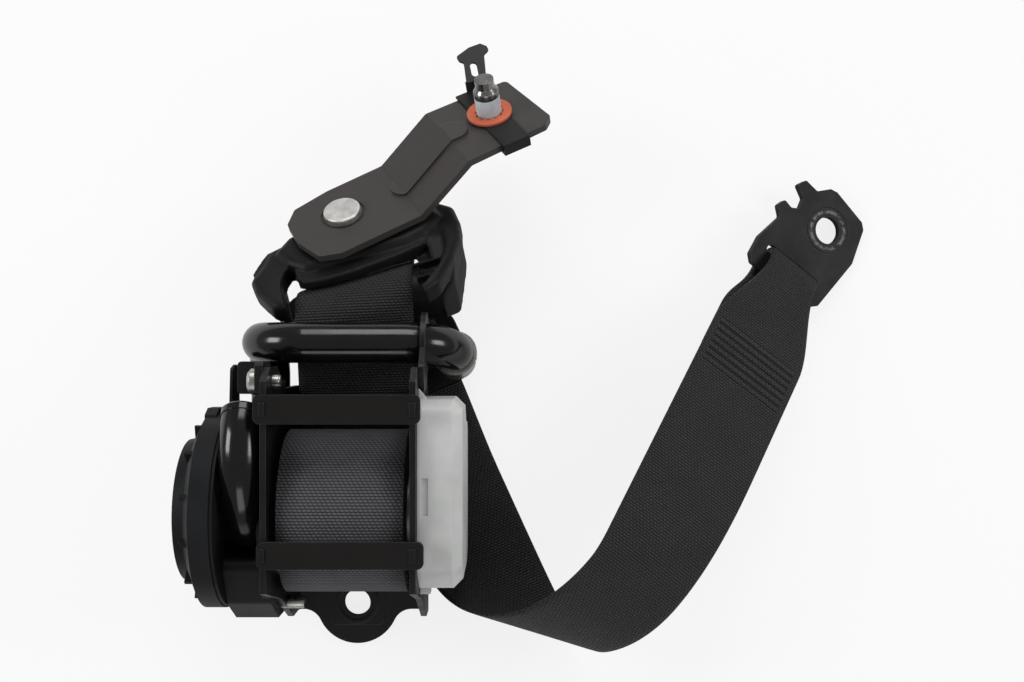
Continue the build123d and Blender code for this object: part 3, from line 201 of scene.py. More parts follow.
world = bpy.data.worlds.new("soft_room")
bpy.context.scene.world = world
world.use_nodes = True
room = world.node_tree
dim = room.nodes["Background"]
feed(room, dim.inputs["Color"], WHITE)
feed(room, dim.inputs["Strength"], ROOM_LIGHT)
seen = node_of(room, "Background", {"Color": SEEN_COLOUR, "Strength": SEEN_STRENGTH})
looked_at = node_of(room, "LightPath").outputs["Is Camera Ray"]
choose = node_of(room, "MixShader", {"Fac": looked_at, 1: dim.outputs[0], 2: seen.outputs[0]})
feed(room, room.nodes["World Output"].inputs["Surface"], choose.outputs[0])
bpy.context.scene.view_settings.view_transform = "Standard"
print("room light", ROOM_LIGHT)

# %% [markdown]
# ## Patterns that the finishes share
# Real steel and plastic are never one flat colour: gloss changes from place to place,
# there is a fine grain, and edges are worn. Pictures of such surfaces would need a
# layout on every piece. Noise read in object coordinates needs none, and since each
# mesh lies in the model's frame, its scale is in metres.

# %% Noise, ramps and mixes


def noise(tree, scale, detail=3.0, roughness=0.55):
    """A noise pattern in object coordinates, of about 1 / scale metres across."""
    place = node_of(tree, "TexCoord").outputs["Object"]
    settings = {"Vector": place, "Scale": scale, "Detail": detail, "Roughness": roughness}
    return node_of(tree, "TexNoise", settings).outputs["Fac"]


def ramp(tree, value, low, high, start, end):
    """Two colours, or two greys, spread over a pattern's values from start to end."""
    colours = node_of(tree, "ValToRGB", {"Fac": value})
    for stop, at, colour in zip(colours.color_ramp.elements, (start, end), (low, high)):
        stop.position = at
        stop.color = (*colour, 1) if hasattr(colour, "__len__") else (colour, colour, colour, 1)
    return colours.outputs["Color"]


def mix_colours(tree, share, first, second, mode="MIX"):
    """Two colours or outputs mixed by a share."""
    inputs = {"Factor": share, "A": first, "B": second}
    return node_of(tree, "Mix", inputs, data_type="RGBA", blend_type=mode).outputs["Result"]


print("pattern helpers ready")

# %% [markdown]
# The rigid meshes have sharp edges, while pressed and moulded edges are slightly round.
# A Bevel modifier would work on a joined mesh, but these are loose triangles, so the
# Bevel node does it in the shader: it gives a normal that is rounded near each edge.
# Where that normal differs from the flat one there is an edge, and there paint wears.

# %% Soft edges, wear and relief
BEVEL_SAMPLES = 6
EDGE_TURN = (0.03, 0.2)


def soft_normal(tree, radius):
    """The surface's normal, rounded within a radius of each edge."""
    return node_of(tree, "Bevel", {"Radius": radius}, samples=BEVEL_SAMPLES).outputs[0]


def edge_mask(tree, radius):
    """White where a surface turns sharply within a radius, black on its flats."""
    normals = {0: soft_normal(tree, radius), 1: node_of(tree, "NewGeometry").outputs["Normal"]}
    agree = node_of(tree, "VectorMath", normals, operation="DOT_PRODUCT")
    turned = maths(tree, "SUBTRACT", 1.0, agree.outputs["Value"])
    return ramp(tree, turned, 0.0, 1.0, *EDGE_TURN)


def bump(tree, shader, height, strength, depth, edge=0.0):
    """Relief from a pattern, over softened edges where edge is above zero."""
    relief = node_of(tree, "Bump", {"Height": height, "Strength": strength, "Distance": depth})
    if edge:
        feed(tree, relief.inputs["Normal"], soft_normal(tree, edge))
    feed(tree, shader.inputs["Normal"], relief.outputs[0])


print("edges found where normals differ by", EDGE_TURN)

# %% [markdown]
# ## Coated steel
# The frame, tie bars, bracket, sill plate and tube are pressed steel with a black
# coating, glossy on the tube and dull on the sill plate. A dark colour alone looks like
# a hole in the picture. Here broad noise changes the gloss, fine noise raises pimples,
# and the coating is rubbed paler along the edges, in patches.

# %% Coated steel
COAT_EDGE = 0.35 * MM
COATED = {
    # finish: material, colour, low and high roughness, worn colour, gloss
    "frame": ("black_frame_steel", (0.006, 0.006, 0.0065), (0.28, 0.5), (0.12, 0.115, 0.11), 0.3),
    "plate": ("black_bracket_steel", (0.046, 0.041, 0.039), (0.40, 0.5), (0.16, 0.15, 0.14), 0.3),
    "anchor": ("black_anchor_steel", (0.012, 0.012, 0.013), (0.4, 0.52), (0.26, 0.25, 0.24), 0.12),
    "bar": ("dark_bar_steel", (0.009, 0.008, 0.0075), (0.4, 0.55), (0.12, 0.11, 0.10), 0.2),
    "tube": ("gloss_black_tube", (0.004, 0.004, 0.004), (0.1, 0.2), (0.01, 0.01, 0.01), 0.45),
}


def coated_steel(name, colour, rough, worn, gloss):
    """Black coated steel: uneven gloss, fine pimples and lighter worn edges."""
    material, tree, shader = node_material(name)
    broad = noise(tree, scale=90, detail=4.0)
    pimples = noise(tree, scale=900, detail=2.0)
    patchy = maths(tree, "MULTIPLY", edge_mask(tree, COAT_EDGE), broad)
    feed(tree, shader.inputs["Base Color"], mix_colours(tree, patchy, (*colour, 1), (*worn, 1)))
    feed(tree, shader.inputs["Roughness"], ramp(tree, broad, *rough, start=0.3, end=0.7))
    feed(tree, shader.inputs["Specular IOR Level"], gloss)
    bump(tree, shader, pimples, strength=0.25, depth=0.05 * MM, edge=COAT_EDGE)
    return material


FINISH = {finish: coated_steel(*values) for finish, values in COATED.items()}
print(len(FINISH), "coated finishes")

# %% [markdown]
# The sill plate carries a pale scuffed ring where a bolt head has turned on it. It could
# be a thin disc laid on the plate, but that would stand proud and end too cleanly. It is
# a band of distances from the hole's middle instead, broken up by noise.

# %% Scuffed ring on the sill plate
RING_RADIUS = 8.4 * MM
RING_HALF_WIDTH = 1.1 * MM
SCUFF_COLOUR = (0.20, 0.20, 0.19, 1)


def scuffed_ring(material, middle):
    """Add a thin, patchy band of paler steel round a point to a finish."""
    tree = material.node_tree
    base = tree.nodes["Principled BSDF"].inputs["Base Color"]
    place = node_of(tree, "TexCoord").outputs["Object"]
    reach = node_of(tree, "VectorMath", {0: place, 1: middle}, operation="DISTANCE")
    off = maths(tree, "ABSOLUTE", maths(tree, "SUBTRACT", reach.outputs["Value"], RING_RADIUS))
    band = maths(tree, "SUBTRACT", 1.0, maths(tree, "MULTIPLY", off, 1 / RING_HALF_WIDTH))
    band = maths(tree, "MAXIMUM", band, 0.0)
    flecks = noise(tree, scale=500, detail=4.0)
    patches = ramp(tree, flecks, 0.0, 0.9, start=0.42, end=0.6)
    broken = maths(tree, "MULTIPLY", band, patches)
    feed(tree, base, mix_colours(tree, broken, base.links[0].from_socket, SCUFF_COLOUR))


mounts = {mount["name"]: mount for mount in frame["record"]["mounts"]}
scuffed_ring(FINISH["anchor"], mounts["lower_anchor"]["pos_m"])
print("ring of", RING_RADIUS / MM, "mm radius round the sill hole")

# %% [markdown]
# ## Bare and plated metal
# Rivet, bolt, screws, spool core and springs are bare or plated, so they mirror the
# room. Perfectly clean metal looks like chrome. A stain pattern darkens its colour in
# clouds and a finer one changes its gloss, as handling and tooling marks do. The pale
# locking coat on the bolt is made the same way, with no metal in it.

# %% Bare metal
STAIN_SHADE = 0.72
METAL_EDGE = 0.3 * MM
BARE = {
    # finish: material, colour, low and high roughness, share of metal
    "zinc": ("zinc_plated_steel", (0.50, 0.49, 0.46), (0.22, 0.42), 1.0),
    "rivet": ("bare_rivet_steel", (0.78, 0.76, 0.73), (0.38, 0.52), 1.0),
    "bolt": ("bright_bolt_steel", (0.30, 0.29, 0.28), (0.15, 0.3), 1.0),
    "spring": ("blued_spring_steel", (0.16, 0.17, 0.20), (0.25, 0.4), 1.0),
    "cast": ("cast_spool_metal", (0.45, 0.45, 0.46), (0.4, 0.6), 1.0),
    "coat": ("pale_thread_lock", (0.60, 0.63, 0.66), (0.5, 0.7), 0.0),
}


def bare_metal(name, colour, rough, metallic):
    """Bare metal with clouds of stain and fine scratches."""
    material, tree, shader = node_material(name)
    stain = noise(tree, scale=160, detail=4.0)
    scratch = noise(tree, scale=700, detail=2.0, roughness=0.6)
    stained = tuple(part * STAIN_SHADE for part in colour)
    tone = ramp(tree, stain, stained, colour, start=0.35, end=0.6)
    feed(tree, shader.inputs["Base Color"], tone)
    feed(tree, shader.inputs["Roughness"], ramp(tree, scratch, *rough, start=0.3, end=0.7))
    feed(tree, shader.inputs["Metallic"], metallic)
    bump(tree, shader, scratch, strength=0.18, depth=0.03 * MM, edge=METAL_EDGE)
    return material


FINISH.update({finish: bare_metal(*values) for finish, values in BARE.items()})
print(len(BARE), "bare finishes")

# %% [markdown]
# ## Moulded plastic
# The spring cover, the loop body and the small clips are moulded, with the fine etched
# grain of the mould. Grain from geometry would need millions of faces, so it is bump
# noise, and a slow cloud of slightly lighter shade keeps broad faces from looking
# painted. The fibre washer is the same recipe with a coarser grain.

# %% Moulded plastic
PLASTIC_EDGE = 0.5 * MM
PLASTIC_GLOSS = 0.16
CLOUD_GAIN = 1.35
CLOUD_LIFT = 0.004
MOULDED = {
    # finish: material, colour, low and high roughness, grains per metre, grain depth
    "plastic": ("black_cover_plastic", (0.006, 0.0065, 0.0075), (0.42, 0.6), 1500, 0.04 * MM),
    "loop": ("black_loop_plastic", (0.005, 0.005, 0.0055), (0.38, 0.55), 1500, 0.04 * MM),
    "clip": ("black_clip_plastic", (0.013, 0.012, 0.012), (0.3, 0.45), 1500, 0.04 * MM),
    "yellow": ("yellow_socket_plastic", (0.65, 0.42, 0.03), (0.42, 0.6), 1500, 0.04 * MM),
    "rubber": ("seal_rubber", (0.02, 0.02, 0.02), (0.6, 0.8), 1500, 0.04 * MM),
    "washer": ("orange_red_fibre", (0.52, 0.125, 0.065), (0.5, 0.7), 900, 0.08 * MM),
}


def moulded_plastic(name, colour, rough, grain, depth):
    """Moulded plastic with a fine etched grain and a slight change of shade."""
    material, tree, shader = node_material(name)
    cloud = noise(tree, scale=45)
    etched = noise(tree, scale=grain, detail=2.0)
    light = tuple(part * CLOUD_GAIN + CLOUD_LIFT for part in colour)
    tone = ramp(tree, cloud, colour, light, start=0.35, end=0.7)
    feed(tree, shader.inputs["Base Color"], tone)
    feed(tree, shader.inputs["Roughness"], ramp(tree, cloud, *rough, start=0.3, end=0.7))
    feed(tree, shader.inputs["Specular IOR Level"], PLASTIC_GLOSS)
    bump(tree, shader, etched, strength=0.35, depth=depth, edge=PLASTIC_EDGE)
    return material


FINISH.update({finish: moulded_plastic(*values) for finish, values in MOULDED.items()})
print(len(MOULDED), "moulded finishes")

# %% [markdown]
# ## Milky nylon
# The cover over the lock mechanism is natural nylon with no dye in it. Plain grey would
# make it look like painted metal. Light goes a little way into nylon and comes out
# beside where it went in, so this finish has subsurface scattering and a faint cloud.

# %% Milky nylon
NYLON_DARK = (0.50, 0.51, 0.50)
NYLON_PALE = (0.66, 0.67, 0.66)
NYLON_REACH = 1.6 * MM


def milky_nylon():
    """Pale grey translucent plastic with a slight cloud and a soft sheen."""
    material, tree, shader = node_material("milky_nylon")
    cloud = noise(tree, scale=40, detail=4.0)
    etched = noise(tree, scale=1200, detail=2.0)
    tone = ramp(tree, cloud, NYLON_DARK, NYLON_PALE, start=0.3, end=0.7)
    feed(tree, shader.inputs["Base Color"], tone)
    feed(tree, shader.inputs["Roughness"], 0.42)
    feed(tree, shader.inputs["Subsurface Weight"], 0.35)
    feed(tree, shader.inputs["Subsurface Radius"], (1.0, 0.95, 0.85))
    feed(tree, shader.inputs["Subsurface Scale"], NYLON_REACH)
    bump(tree, shader, etched, strength=0.25, depth=0.04 * MM, edge=0.6 * MM)
    return material


FINISH["milky"] = milky_nylon()
print("light goes", NYLON_REACH / MM, "mm into the nylon")

# %% [markdown]
# ## Webbing cloth
# Belt webbing shows crosswise rows of short raised floats, each row stepped a little
# from the last, so that slanting lines run over the belt. Modelled threads would be
# tens of thousands of tiny tubes. Two sine waves make the floats instead: one runs
# across the belt, one along it, and the row's number shifts the first. They follow the
# strap, so they are read from a UV map laid out in metres, u across and v along.

# %% The weave's relief
WEB_WIDTH = 47.0 * MM
WEB_THICK = 1.2 * MM
ROW_PITCH = 1.12 * MM
FLOAT_PITCH = 1.75 * MM
ROW_SHIFT = 0.375
FLOAT_BASE = 0.35
THREADS = 5
THREAD_SHARE = 0.06


def weave_relief(tree, across, along):
    """Height of the cloth: rows of stepped floats with fine threads in them."""
    row = maths(tree, "MULTIPLY", along, 1 / ROW_PITCH)
    ridge = maths(tree, "SINE", maths(tree, "MULTIPLY", maths(tree, "FRACT", row), pi))
    column = maths(tree, "MULTIPLY", across, 1 / FLOAT_PITCH)
    shift = maths(tree, "MULTIPLY", maths(tree, "FLOOR", row), ROW_SHIFT)
    stepped = maths(tree, "ADD", column, shift)
    wave = maths(tree, "SINE", maths(tree, "MULTIPLY", stepped, pi))
    floats = maths(tree, "ADD", maths(tree, "ABSOLUTE", wave), FLOAT_BASE)
    threads = maths(tree, "SINE", maths(tree, "MULTIPLY", column, 2 * pi * THREADS))
    fine = maths(tree, "MULTIPLY", threads, THREAD_SHARE)
    return maths(tree, "ADD", maths(tree, "MULTIPLY", ridge, floats), fine)


print("rows every", ROW_PITCH / MM, "mm, floats every", FLOAT_PITCH / MM, "mm")

# %% [markdown]
# Near the sill plate the folded end is sewn down by rows of thick stitches. Each row
# stands up between two furrows, where the thread pulls the cloth in, so it is one more
# wave along the belt, beaded across it and limited to a block.

# %% Stitch rows
STITCH_ROW = 3.1 * MM
STITCH_LENGTH = 2.6 * MM
STITCH_HALF_WIDTH = 20.5 * MM
STITCH_START = -59.0 * MM
STITCH_ROWS = 7
STITCH_HEIGHT = 0.6


def stitch_relief(tree, across, along):
    """Rows of raised stitches with furrows between them, as a height to add."""
    from_start = maths(tree, "SUBTRACT", along, STITCH_START)
    place = maths(tree, "MULTIPLY", from_start, 1 / STITCH_ROW)
    wave = maths(tree, "COSINE", maths(tree, "MULTIPLY", place, 2 * pi))
    furrow = maths(tree, "MINIMUM", wave, 0.0)
    raised = maths(tree, "MAXIMUM", wave, 0.0)
    slanted = maths(tree, "ADD", across, maths(tree, "MULTIPLY", place, STITCH_LENGTH / 2))
    bead = maths(tree, "SINE", maths(tree, "MULTIPLY", slanted, pi / STITCH_LENGTH))
    stitch = maths(tree, "MULTIPLY", maths(tree, "ABSOLUTE", bead), raised)
    height = maths(tree, "ADD", furrow, maths(tree, "MULTIPLY", stitch, STITCH_HEIGHT))
    within = maths(tree, "LESS_THAN", maths(tree, "ABSOLUTE", across), STITCH_HALF_WIDTH)
    off_middle = maths(tree, "SUBTRACT", place, (STITCH_ROWS - 1) / 2)
    block = maths(tree, "LESS_THAN", maths(tree, "ABSOLUTE", off_middle), STITCH_ROWS / 2)
    return maths(tree, "MULTIPLY", maths(tree, "MULTIPLY", within, block), height)


print(STITCH_ROWS, "rows of stitches, the first", -STITCH_START / MM, "mm before the bar")

# %% [markdown]
# The height also chooses the colour, as painted shade and light: furrows are painted near black and raised threads
# a dark grey, which keeps the weave readable where the light is flat. A broad noise darkens some places a little
# more, as in handled cloth. The wound webbing gets paler threads, painted light that makes up for the shade the
# tie bars cast on the roll.

# %% Webbing finishes
WEAVE_DEPTH = 0.28 * MM
CLOUD_SHARE = 0.6
CLOTH_ROUGHNESS = 0.58
CLOTH_GLOSS = 0.22
CLOTH_SHEEN = 0.04
SHEEN_ROUGHNESS = 0.4


def webbing_cloth(name, furrow, thread, stitched):
    """Near-black polyester webbing, with a block of stitches where it is stitched."""
    material, tree, shader = node_material(name)
    place = node_of(tree, "UVMap", uv_map="strap").outputs[0]
    split = node_of(tree, "SeparateXYZ", {0: place}).outputs
    relief = weave_relief(tree, split["X"], split["Y"])
    if stitched:
        relief = maths(tree, "ADD", relief, stitch_relief(tree, split["X"], split["Y"]))
    # Painted shade and light: the colour follows the relief, darker in the furrows and paler on the raised
    # threads.
    tone = ramp(tree, relief, furrow, thread, start=0.0, end=1.0)
    cloud = ramp(tree, noise(tree, scale=70), 0.75, 1.0, start=0.35, end=0.65)
    shade = mix_colours(tree, CLOUD_SHARE, tone, cloud, mode="MULTIPLY")
    feed(tree, shader.inputs["Base Color"], shade)
    feed(tree, shader.inputs["Roughness"], CLOTH_ROUGHNESS)
    feed(tree, shader.inputs["Sheen Weight"], CLOTH_SHEEN)
    feed(tree, shader.inputs["Sheen Roughness"], SHEEN_ROUGHNESS)
    feed(tree, shader.inputs["Specular IOR Level"], CLOTH_GLOSS)
    bump(tree, shader, relief, strength=1.0, depth=WEAVE_DEPTH)
    return material


WEBBING = {
    # finish: material, colour of the furrows with painted shade, colour of the raised threads with painted light,
    # whether it is stitched
    "webbing": ("black_webbing", (0.0015, 0.0015, 0.0018), (0.040, 0.038, 0.040), True),
    # The wound webbing is the strap's cloth with paler threads: painted light, making up for the shade of the tie
    # bars over the roll.
    "wound": ("wound_webbing_painted_lighter", (0.006, 0.006, 0.007), (0.125, 0.122, 0.133), False),
}
FINISH.update({finish: webbing_cloth(*values) for finish, values in WEBBING.items()})
print(len(FINISH), "finishes in all")

# %% [markdown]
# ## Finishes on the rigid nodes
# Most hard pieces of the model already have the right shape and are shown as they are.
# Rebuilding them here would only copy them, so a table gives each node its finish.

# %% Paint the rigid nodes
NODE_FINISH = {
    "frame": ["retractor_frame", "generator_bracket", "tube_clamp", "pillar_loop_plate"],
    "bar": ["upper_tie_bar", "lower_tie_bar"],
    "plate": ["offset_bracket"],
    "clip": ["locating_clip"],
    "anchor": ["lower_anchor_plate"],
    "tube": ["pretensioner_tube", "tube_end_cap"],
    "zinc": [
        "housing_screws",
        "pawl_pin",
        "gas_generator",
        "torsion_bar",
        "ratchet_wheel",
        "flywheel",
        "locking_pawl",
        "sensor_ball",
    ],
    "rivet": ["pivot_rivet", "tongue_blade"],
    "bolt": ["anchor_bolt"],
    "spring": ["wave_washer", "return_spring"],
    "cast": ["spool_core", "drive_pinion", "drive_balls"],
    "plastic": [
        "spring_cover",
        "spring_plate",
        "pretensioner_housing",
        "spool_bush_left",
        "spool_bush_right",
        "spring_arbor",
    ],
    "loop": ["pillar_loop_body", "tongue_grip"],
    "yellow": ["connector_socket"],
    "rubber": ["piston_seal"],
    "washer": ["retaining_washer"],
    "milky": ["mechanism_cover", "sensor_housing", "sensor_lever"],
    "webbing": ["webbing", "webbing_roll"],
}
painted = 0
for finish, names in NODE_FINISH.items():
    for name in names:
        materials = frame["nodes"][name].data.materials
        materials.clear()
        materials.append(FINISH[finish])
        painted += 1
print("painted", painted, "of", len(frame["nodes"]), "nodes")

# %% [markdown]
# ## The strap
# The strap is stiff cloth that bends but doesn't stretch. A curve with a flat profile
# would shear it in the wide turn, and a cloth simulation is unlikely to settle into just
# the fold of the picture. So its shape is walked in short steps. Each step knows its
# place, its heading and which way its face looks, and turns about a line across the
# strap, square or slanted. A strip that bends about straight lines keeps its flat size.

# %% Crosswise lines
GAP = 0.3 * MM
STEP = 1.0 * MM


def leaned(values):
    """A point or direction of the retractor's frame, in the table's frame."""
    return lean.to_3x3() @ Vector(values)


def between(values, share):
    """Read evenly spaced values at a share of their span."""
    place = share * (len(values) - 1)
    index = min(int(place), len(values) - 2)
    return values[index] + (values[index + 1] - values[index]) * (place - index)


def eased(share):
    """A share from 0 to 1 that starts and ends gently."""
    return 3 * share**2 - 2 * share**3


def ruling(point, along, up, slope=0.0, width=WEB_WIDTH, thick=WEB_THICK):
    """One crosswise line: middle, direction, the face's normal, half length, thickness."""
    line = (along.cross(up) + along * slope).normalized()
    return (point.copy(), line, up.copy(), width / 2 * hypot(1, slope), thick)


def curl(state, length, rates=(0, 0), slopes=(0, 0)):
    """A stretch that bends away from its upper face about slanted lines."""
    point, along, up = (vector.copy() for vector in state)
    count = max(3, round(length / STEP))
    step = length / count
    lines = []
    for index in range(count):
        share = (index + 0.5) / count
        slope = between(slopes, share)
        point += along * (step / 2)
        lines.append(ruling(point, along, up, slope))
        turn = Quaternion(along.cross(up) + along * slope, -between(rates, share) * step)
        along.rotate(turn)
        up.rotate(turn)
        point += along * (step / 2)
    return lines, (point, along, up)


print("strap steps of", STEP / MM, "mm")

# %% [markdown]
# Between two places where the strap is held it hangs in a smooth sweep. A cubic curve
# with its ends pulled along the two headings gives that sweep, and the crosswise lines
# turn evenly from the one end's to the other's.

# %% Free stretches
SPAN_EASE = 0.4


def free_span(state, target, ease=SPAN_EASE):
    """A stretch that leaves one place and heading and arrives at another."""
    start, along, up = state
    end, end_along, end_up = target
    reach = (end - start).length * ease
    a, b = start + along * reach, end - end_along * reach
    count = max(6, round((end - start).length / STEP))
    lines = []
    for index in range(1, count):
        t = index / count
        s = 1 - t
        point = start * s**3 + a * (3 * t * s**2) + b * (3 * t * t * s) + end * t**3
        heading = (a - start) * s**2 + (b - a) * (2 * t * s) + (end - b) * (t * t)
        heading.normalize()
        mix = along.cross(up) * s + end_along.cross(end_up) * t
        lines.append(ruling(point, heading, mix.cross(heading).normalized()))
    return lines


print("free stretches pull", SPAN_EASE, "of their length along each end")

# %% [markdown]
# The strap leaves the roll along the line that touches both the roll and the round
# guide of the pillar loop. The loop hangs askew, so the strap wraps the guide about a
# line that slants across it, and comes off heading to one side.

# %% From the roll over the guide
ROLL_R = 32.0 * MM
SPOOL = (1.6 * MM, 44.5 * MM, 38.5 * MM)
GUIDE_R = 11.5 * MM
GUIDE_AT = (0.5 * MM, 123.2 * MM, 20.8 * MM)
GUIDE_TURN = radians(104.0)
SLOT_ALONG = Vector((0.963, 0.258, -0.080)).normalized()


def strap_start():
    """Where the strap leaves the roll, on the straight line that just meets the guide."""
    span_y, span_z = GUIDE_AT[1] - SPOOL[1], GUIDE_AT[2] - SPOOL[2]
    clear = GAP + WEB_THICK / 2
    reach = ROLL_R + GUIDE_R + 2 * clear
    slope = atan2(span_z, span_y) + asin(reach / hypot(span_y, span_z))
    off = ROLL_R + clear
    point = (SPOOL[0], SPOOL[1] + off * sin(slope), SPOOL[2] - off * cos(slope))
    return leaned(point), leaned((0, cos(slope), sin(slope))), leaned((0, -sin(slope), cos(slope)))


def guide_wrap():
    """The strap's arrival at the pillar loop's guide and its turn over it."""
    _, along, _ = strap_start()
    bar = leaned(SLOT_ALONG)
    over = bar.cross(along).normalized()
    radius = GUIDE_R + GAP + WEB_THICK / 2
    arrive = (leaned(GUIDE_AT) + over * radius, along, over)
    slope = bar.dot(along) / sqrt(1 - bar.dot(along) ** 2)
    length = GUIDE_TURN * radius * hypot(1, slope)
    rate = GUIDE_TURN / length
    wrap, state = curl(arrive, length, (rate, rate), (slope, slope))
    return arrive, wrap, state


print("strap leaves the roll at, mm:", in_mm(strap_start()[0]))

# %% [markdown]
# At its end the strap narrows where its edges are folded in, goes through the sill
# plate's slot and round its bar, and lies back under itself, wide again. The folded
# edges double its thickness, so each crosswise line carries a width and a thickness.

# %% The folded end
TAPER_LENGTH = 40.0 * MM
TAPER_LINES = 28
ANCHOR_LOOP_R = 5.8 * MM
FULL_LOOP_R = 6.4 * MM
FULL_FOLD = 3.4 * MM
ANCHOR_WIDTH = 25.0 * MM
BAR_LINES = 24
FOLD_BACK = 52.0 * MM
FOLD_WIDTH = 45.0 * MM
BACK_LINES = 32
BACK_CLOSES = 0.6


def anchor_end(state):
    """The end: it narrows, turns round the plate's bar and lies back under itself."""
    point, along, up = state
    lines = []
    for index in range(1, TAPER_LINES + 1):
        share = index / TAPER_LINES
        ease = eased(share)
        width = WEB_WIDTH + (ANCHOR_WIDTH - WEB_WIDTH) * ease
        thick = WEB_THICK + (FULL_FOLD - WEB_THICK) * ease
        rise = up * ((FULL_LOOP_R - ANCHOR_LOOP_R) * ease)
        spot = point + along * (TAPER_LENGTH * share) + rise
        lines.append(ruling(spot, along, up, 0.0, width, thick))
    end = point + along * TAPER_LENGTH
    centre = end - up * ANCHOR_LOOP_R
    for index in range(1, BAR_LINES + 1):
        turn = Quaternion(along.cross(up), -pi * index / BAR_LINES)
        spoke, heading = up.copy(), along.copy()
        spoke.rotate(turn)
        heading.rotate(turn)
        spot = centre + spoke * FULL_LOOP_R
        lines.append(ruling(spot, heading, spoke, 0.0, ANCHOR_WIDTH, FULL_FOLD))
    close = (WEB_THICK + FULL_FOLD) / 2 + GAP
    for index in range(1, BACK_LINES + 1):
        share = index / BACK_LINES
        ease = eased(min(1.0, share / BACK_CLOSES))
        depth = (ANCHOR_LOOP_R + FULL_LOOP_R) * (1 - ease) + close * ease
        width = ANCHOR_WIDTH + (FOLD_WIDTH - ANCHOR_WIDTH) * ease
        thick = FULL_FOLD + (WEB_THICK - FULL_FOLD) * ease
        back = end - along * (FOLD_BACK * share) - up * depth
        lines.append(ruling(back, -along, -up, 0.0, width, thick))
    return lines


print("the end narrows to", ANCHOR_WIDTH / MM, "mm and folds back", FOLD_BACK / MM, "mm")

# %% [markdown]
# From the guide the strap drops to the tongue near the table, then lies down and makes
# its wide turn. Five rates of bending and five slants are spread over that turn, with
# short flat stretches before and after it in which the slant fans in and out. They
# were found by matching the strap's two edges with the picture.

# %% The whole walk
STRAP_REF = (19.95 * MM, 86.21 * MM)
STRAP_HEADING = radians(-65.3)
TONGUE_AT = (13.5 * MM, 104.0 * MM)
TONGUE_STRAP_UP = 7.5 * MM
TONGUE_RUN = (27.0 * MM, 10.0 * MM)
TONGUE_EASE = 0.55
TURN_START = 59.2 * MM
TURN_LENGTH = 155.0 * MM
TURN_RATE = (0.2, 2.25, 1.3, 1.12, 0.44)
TURN_SLOPE = (0.49, 1.13, 0.23, 0.13, 1.21)
FAN_EASE = 1.08
LAP_LENGTH = 45.0 * MM


def strap_walk():
    """Every crosswise line of the strap, from the roll to its folded end."""
    start = strap_start()
    arrive, wrap, state = guide_wrap()
    lines = [ruling(*start)] + free_span(start, arrive) + wrap
    heading = Vector((cos(STRAP_HEADING), sin(STRAP_HEADING), 0))
    down = Vector((0, 0, -1))
    tongue = Vector((*TONGUE_AT, TABLE_Z + TONGUE_STRAP_UP))
    landing = (tongue - heading * TONGUE_RUN[0], heading, down)
    lines += free_span(state, landing, TONGUE_EASE)
    run, state = curl(landing, sum(TONGUE_RUN))
    level = Vector((*STRAP_REF, TABLE_Z + GAP + WEB_THICK / 2))
    first_fan = WEB_WIDTH / 2 * FAN_EASE * TURN_SLOPE[0]
    last_fan = WEB_WIDTH / 2 * FAN_EASE * TURN_SLOPE[-1]
    on_table = (level + heading * (TURN_START - first_fan), heading, down)
    lines += run + free_span(state, on_table)
    rates = [radians(rate) / MM for rate in TURN_RATE]
    lead, state = curl(on_table, first_fan, (0, 0), (0, TURN_SLOPE[0]))
    turn, state = curl(state, TURN_LENGTH, rates, TURN_SLOPE)
    trail, state = curl(state, last_fan, (0, 0), (TURN_SLOPE[-1], 0))
    lap, state = curl(state, LAP_LENGTH)
    return lines + lead + turn + trail + lap + anchor_end(state)


walk = strap_walk()
lengths = [0.0]
for before, after in zip(walk, walk[1:]):
    lengths.append(lengths[-1] + (after[0] - before[0]).length)
print(len(walk), "lines along", round(lengths[-1] / MM), "mm of strap")

# %% [markdown]
# ## The strap's cloth
# A flat grid is carried onto the walk, with one row of corners on each crosswise line.
# The Solidify modifier gives it thickness, and a vertex group tells it how much: more
# at the folded end, a little less at the two edges. A very slight ripple keeps the
# cloth from looking like sheet metal.

# %% A mesh object and a flat grid


def fill_mesh(mesh, shape):
    """Write a bmesh into a mesh, shaded smooth, and free it."""
    shape.to_mesh(mesh)
    shape.free()
    mesh.polygons.foreach_set("use_smooth", [True] * len(mesh.polygons))


def new_object(name, shape, finish):
    """A finished mesh object with one material, linked to the scene."""
    mesh = bpy.data.meshes.new(name)
    fill_mesh(mesh, shape)
    mesh.materials.append(FINISH[finish])
    made = bpy.data.objects.new(name, mesh)
    bpy.context.collection.objects.link(made)
    return made


def cloth_grid(columns, rows):
    """A flat grid with a strap UV map, its corners numbered by column and row."""
    shape = bmesh.new()
    layer = shape.loops.layers.uv.new("strap")
    shape.verts.layers.deform.verify()
    bmesh.ops.create_grid(shape, x_segments=columns, y_segments=rows, size=1.0, calc_uvs=False)
    spots = {}
    for corner in shape.verts:
        column = round((corner.co.x + 1) / 2 * columns)
        row = round((corner.co.y + 1) / 2 * rows)
        spots[corner] = (column, row)
    return shape, layer, spots


print("grid and object helpers ready")

# %% Lay the cloth on the walk
ACROSS = 16
EDGE_THICK = 0.82
RIPPLE = 0.12 * MM
RIPPLE_STEP = 17 * MM


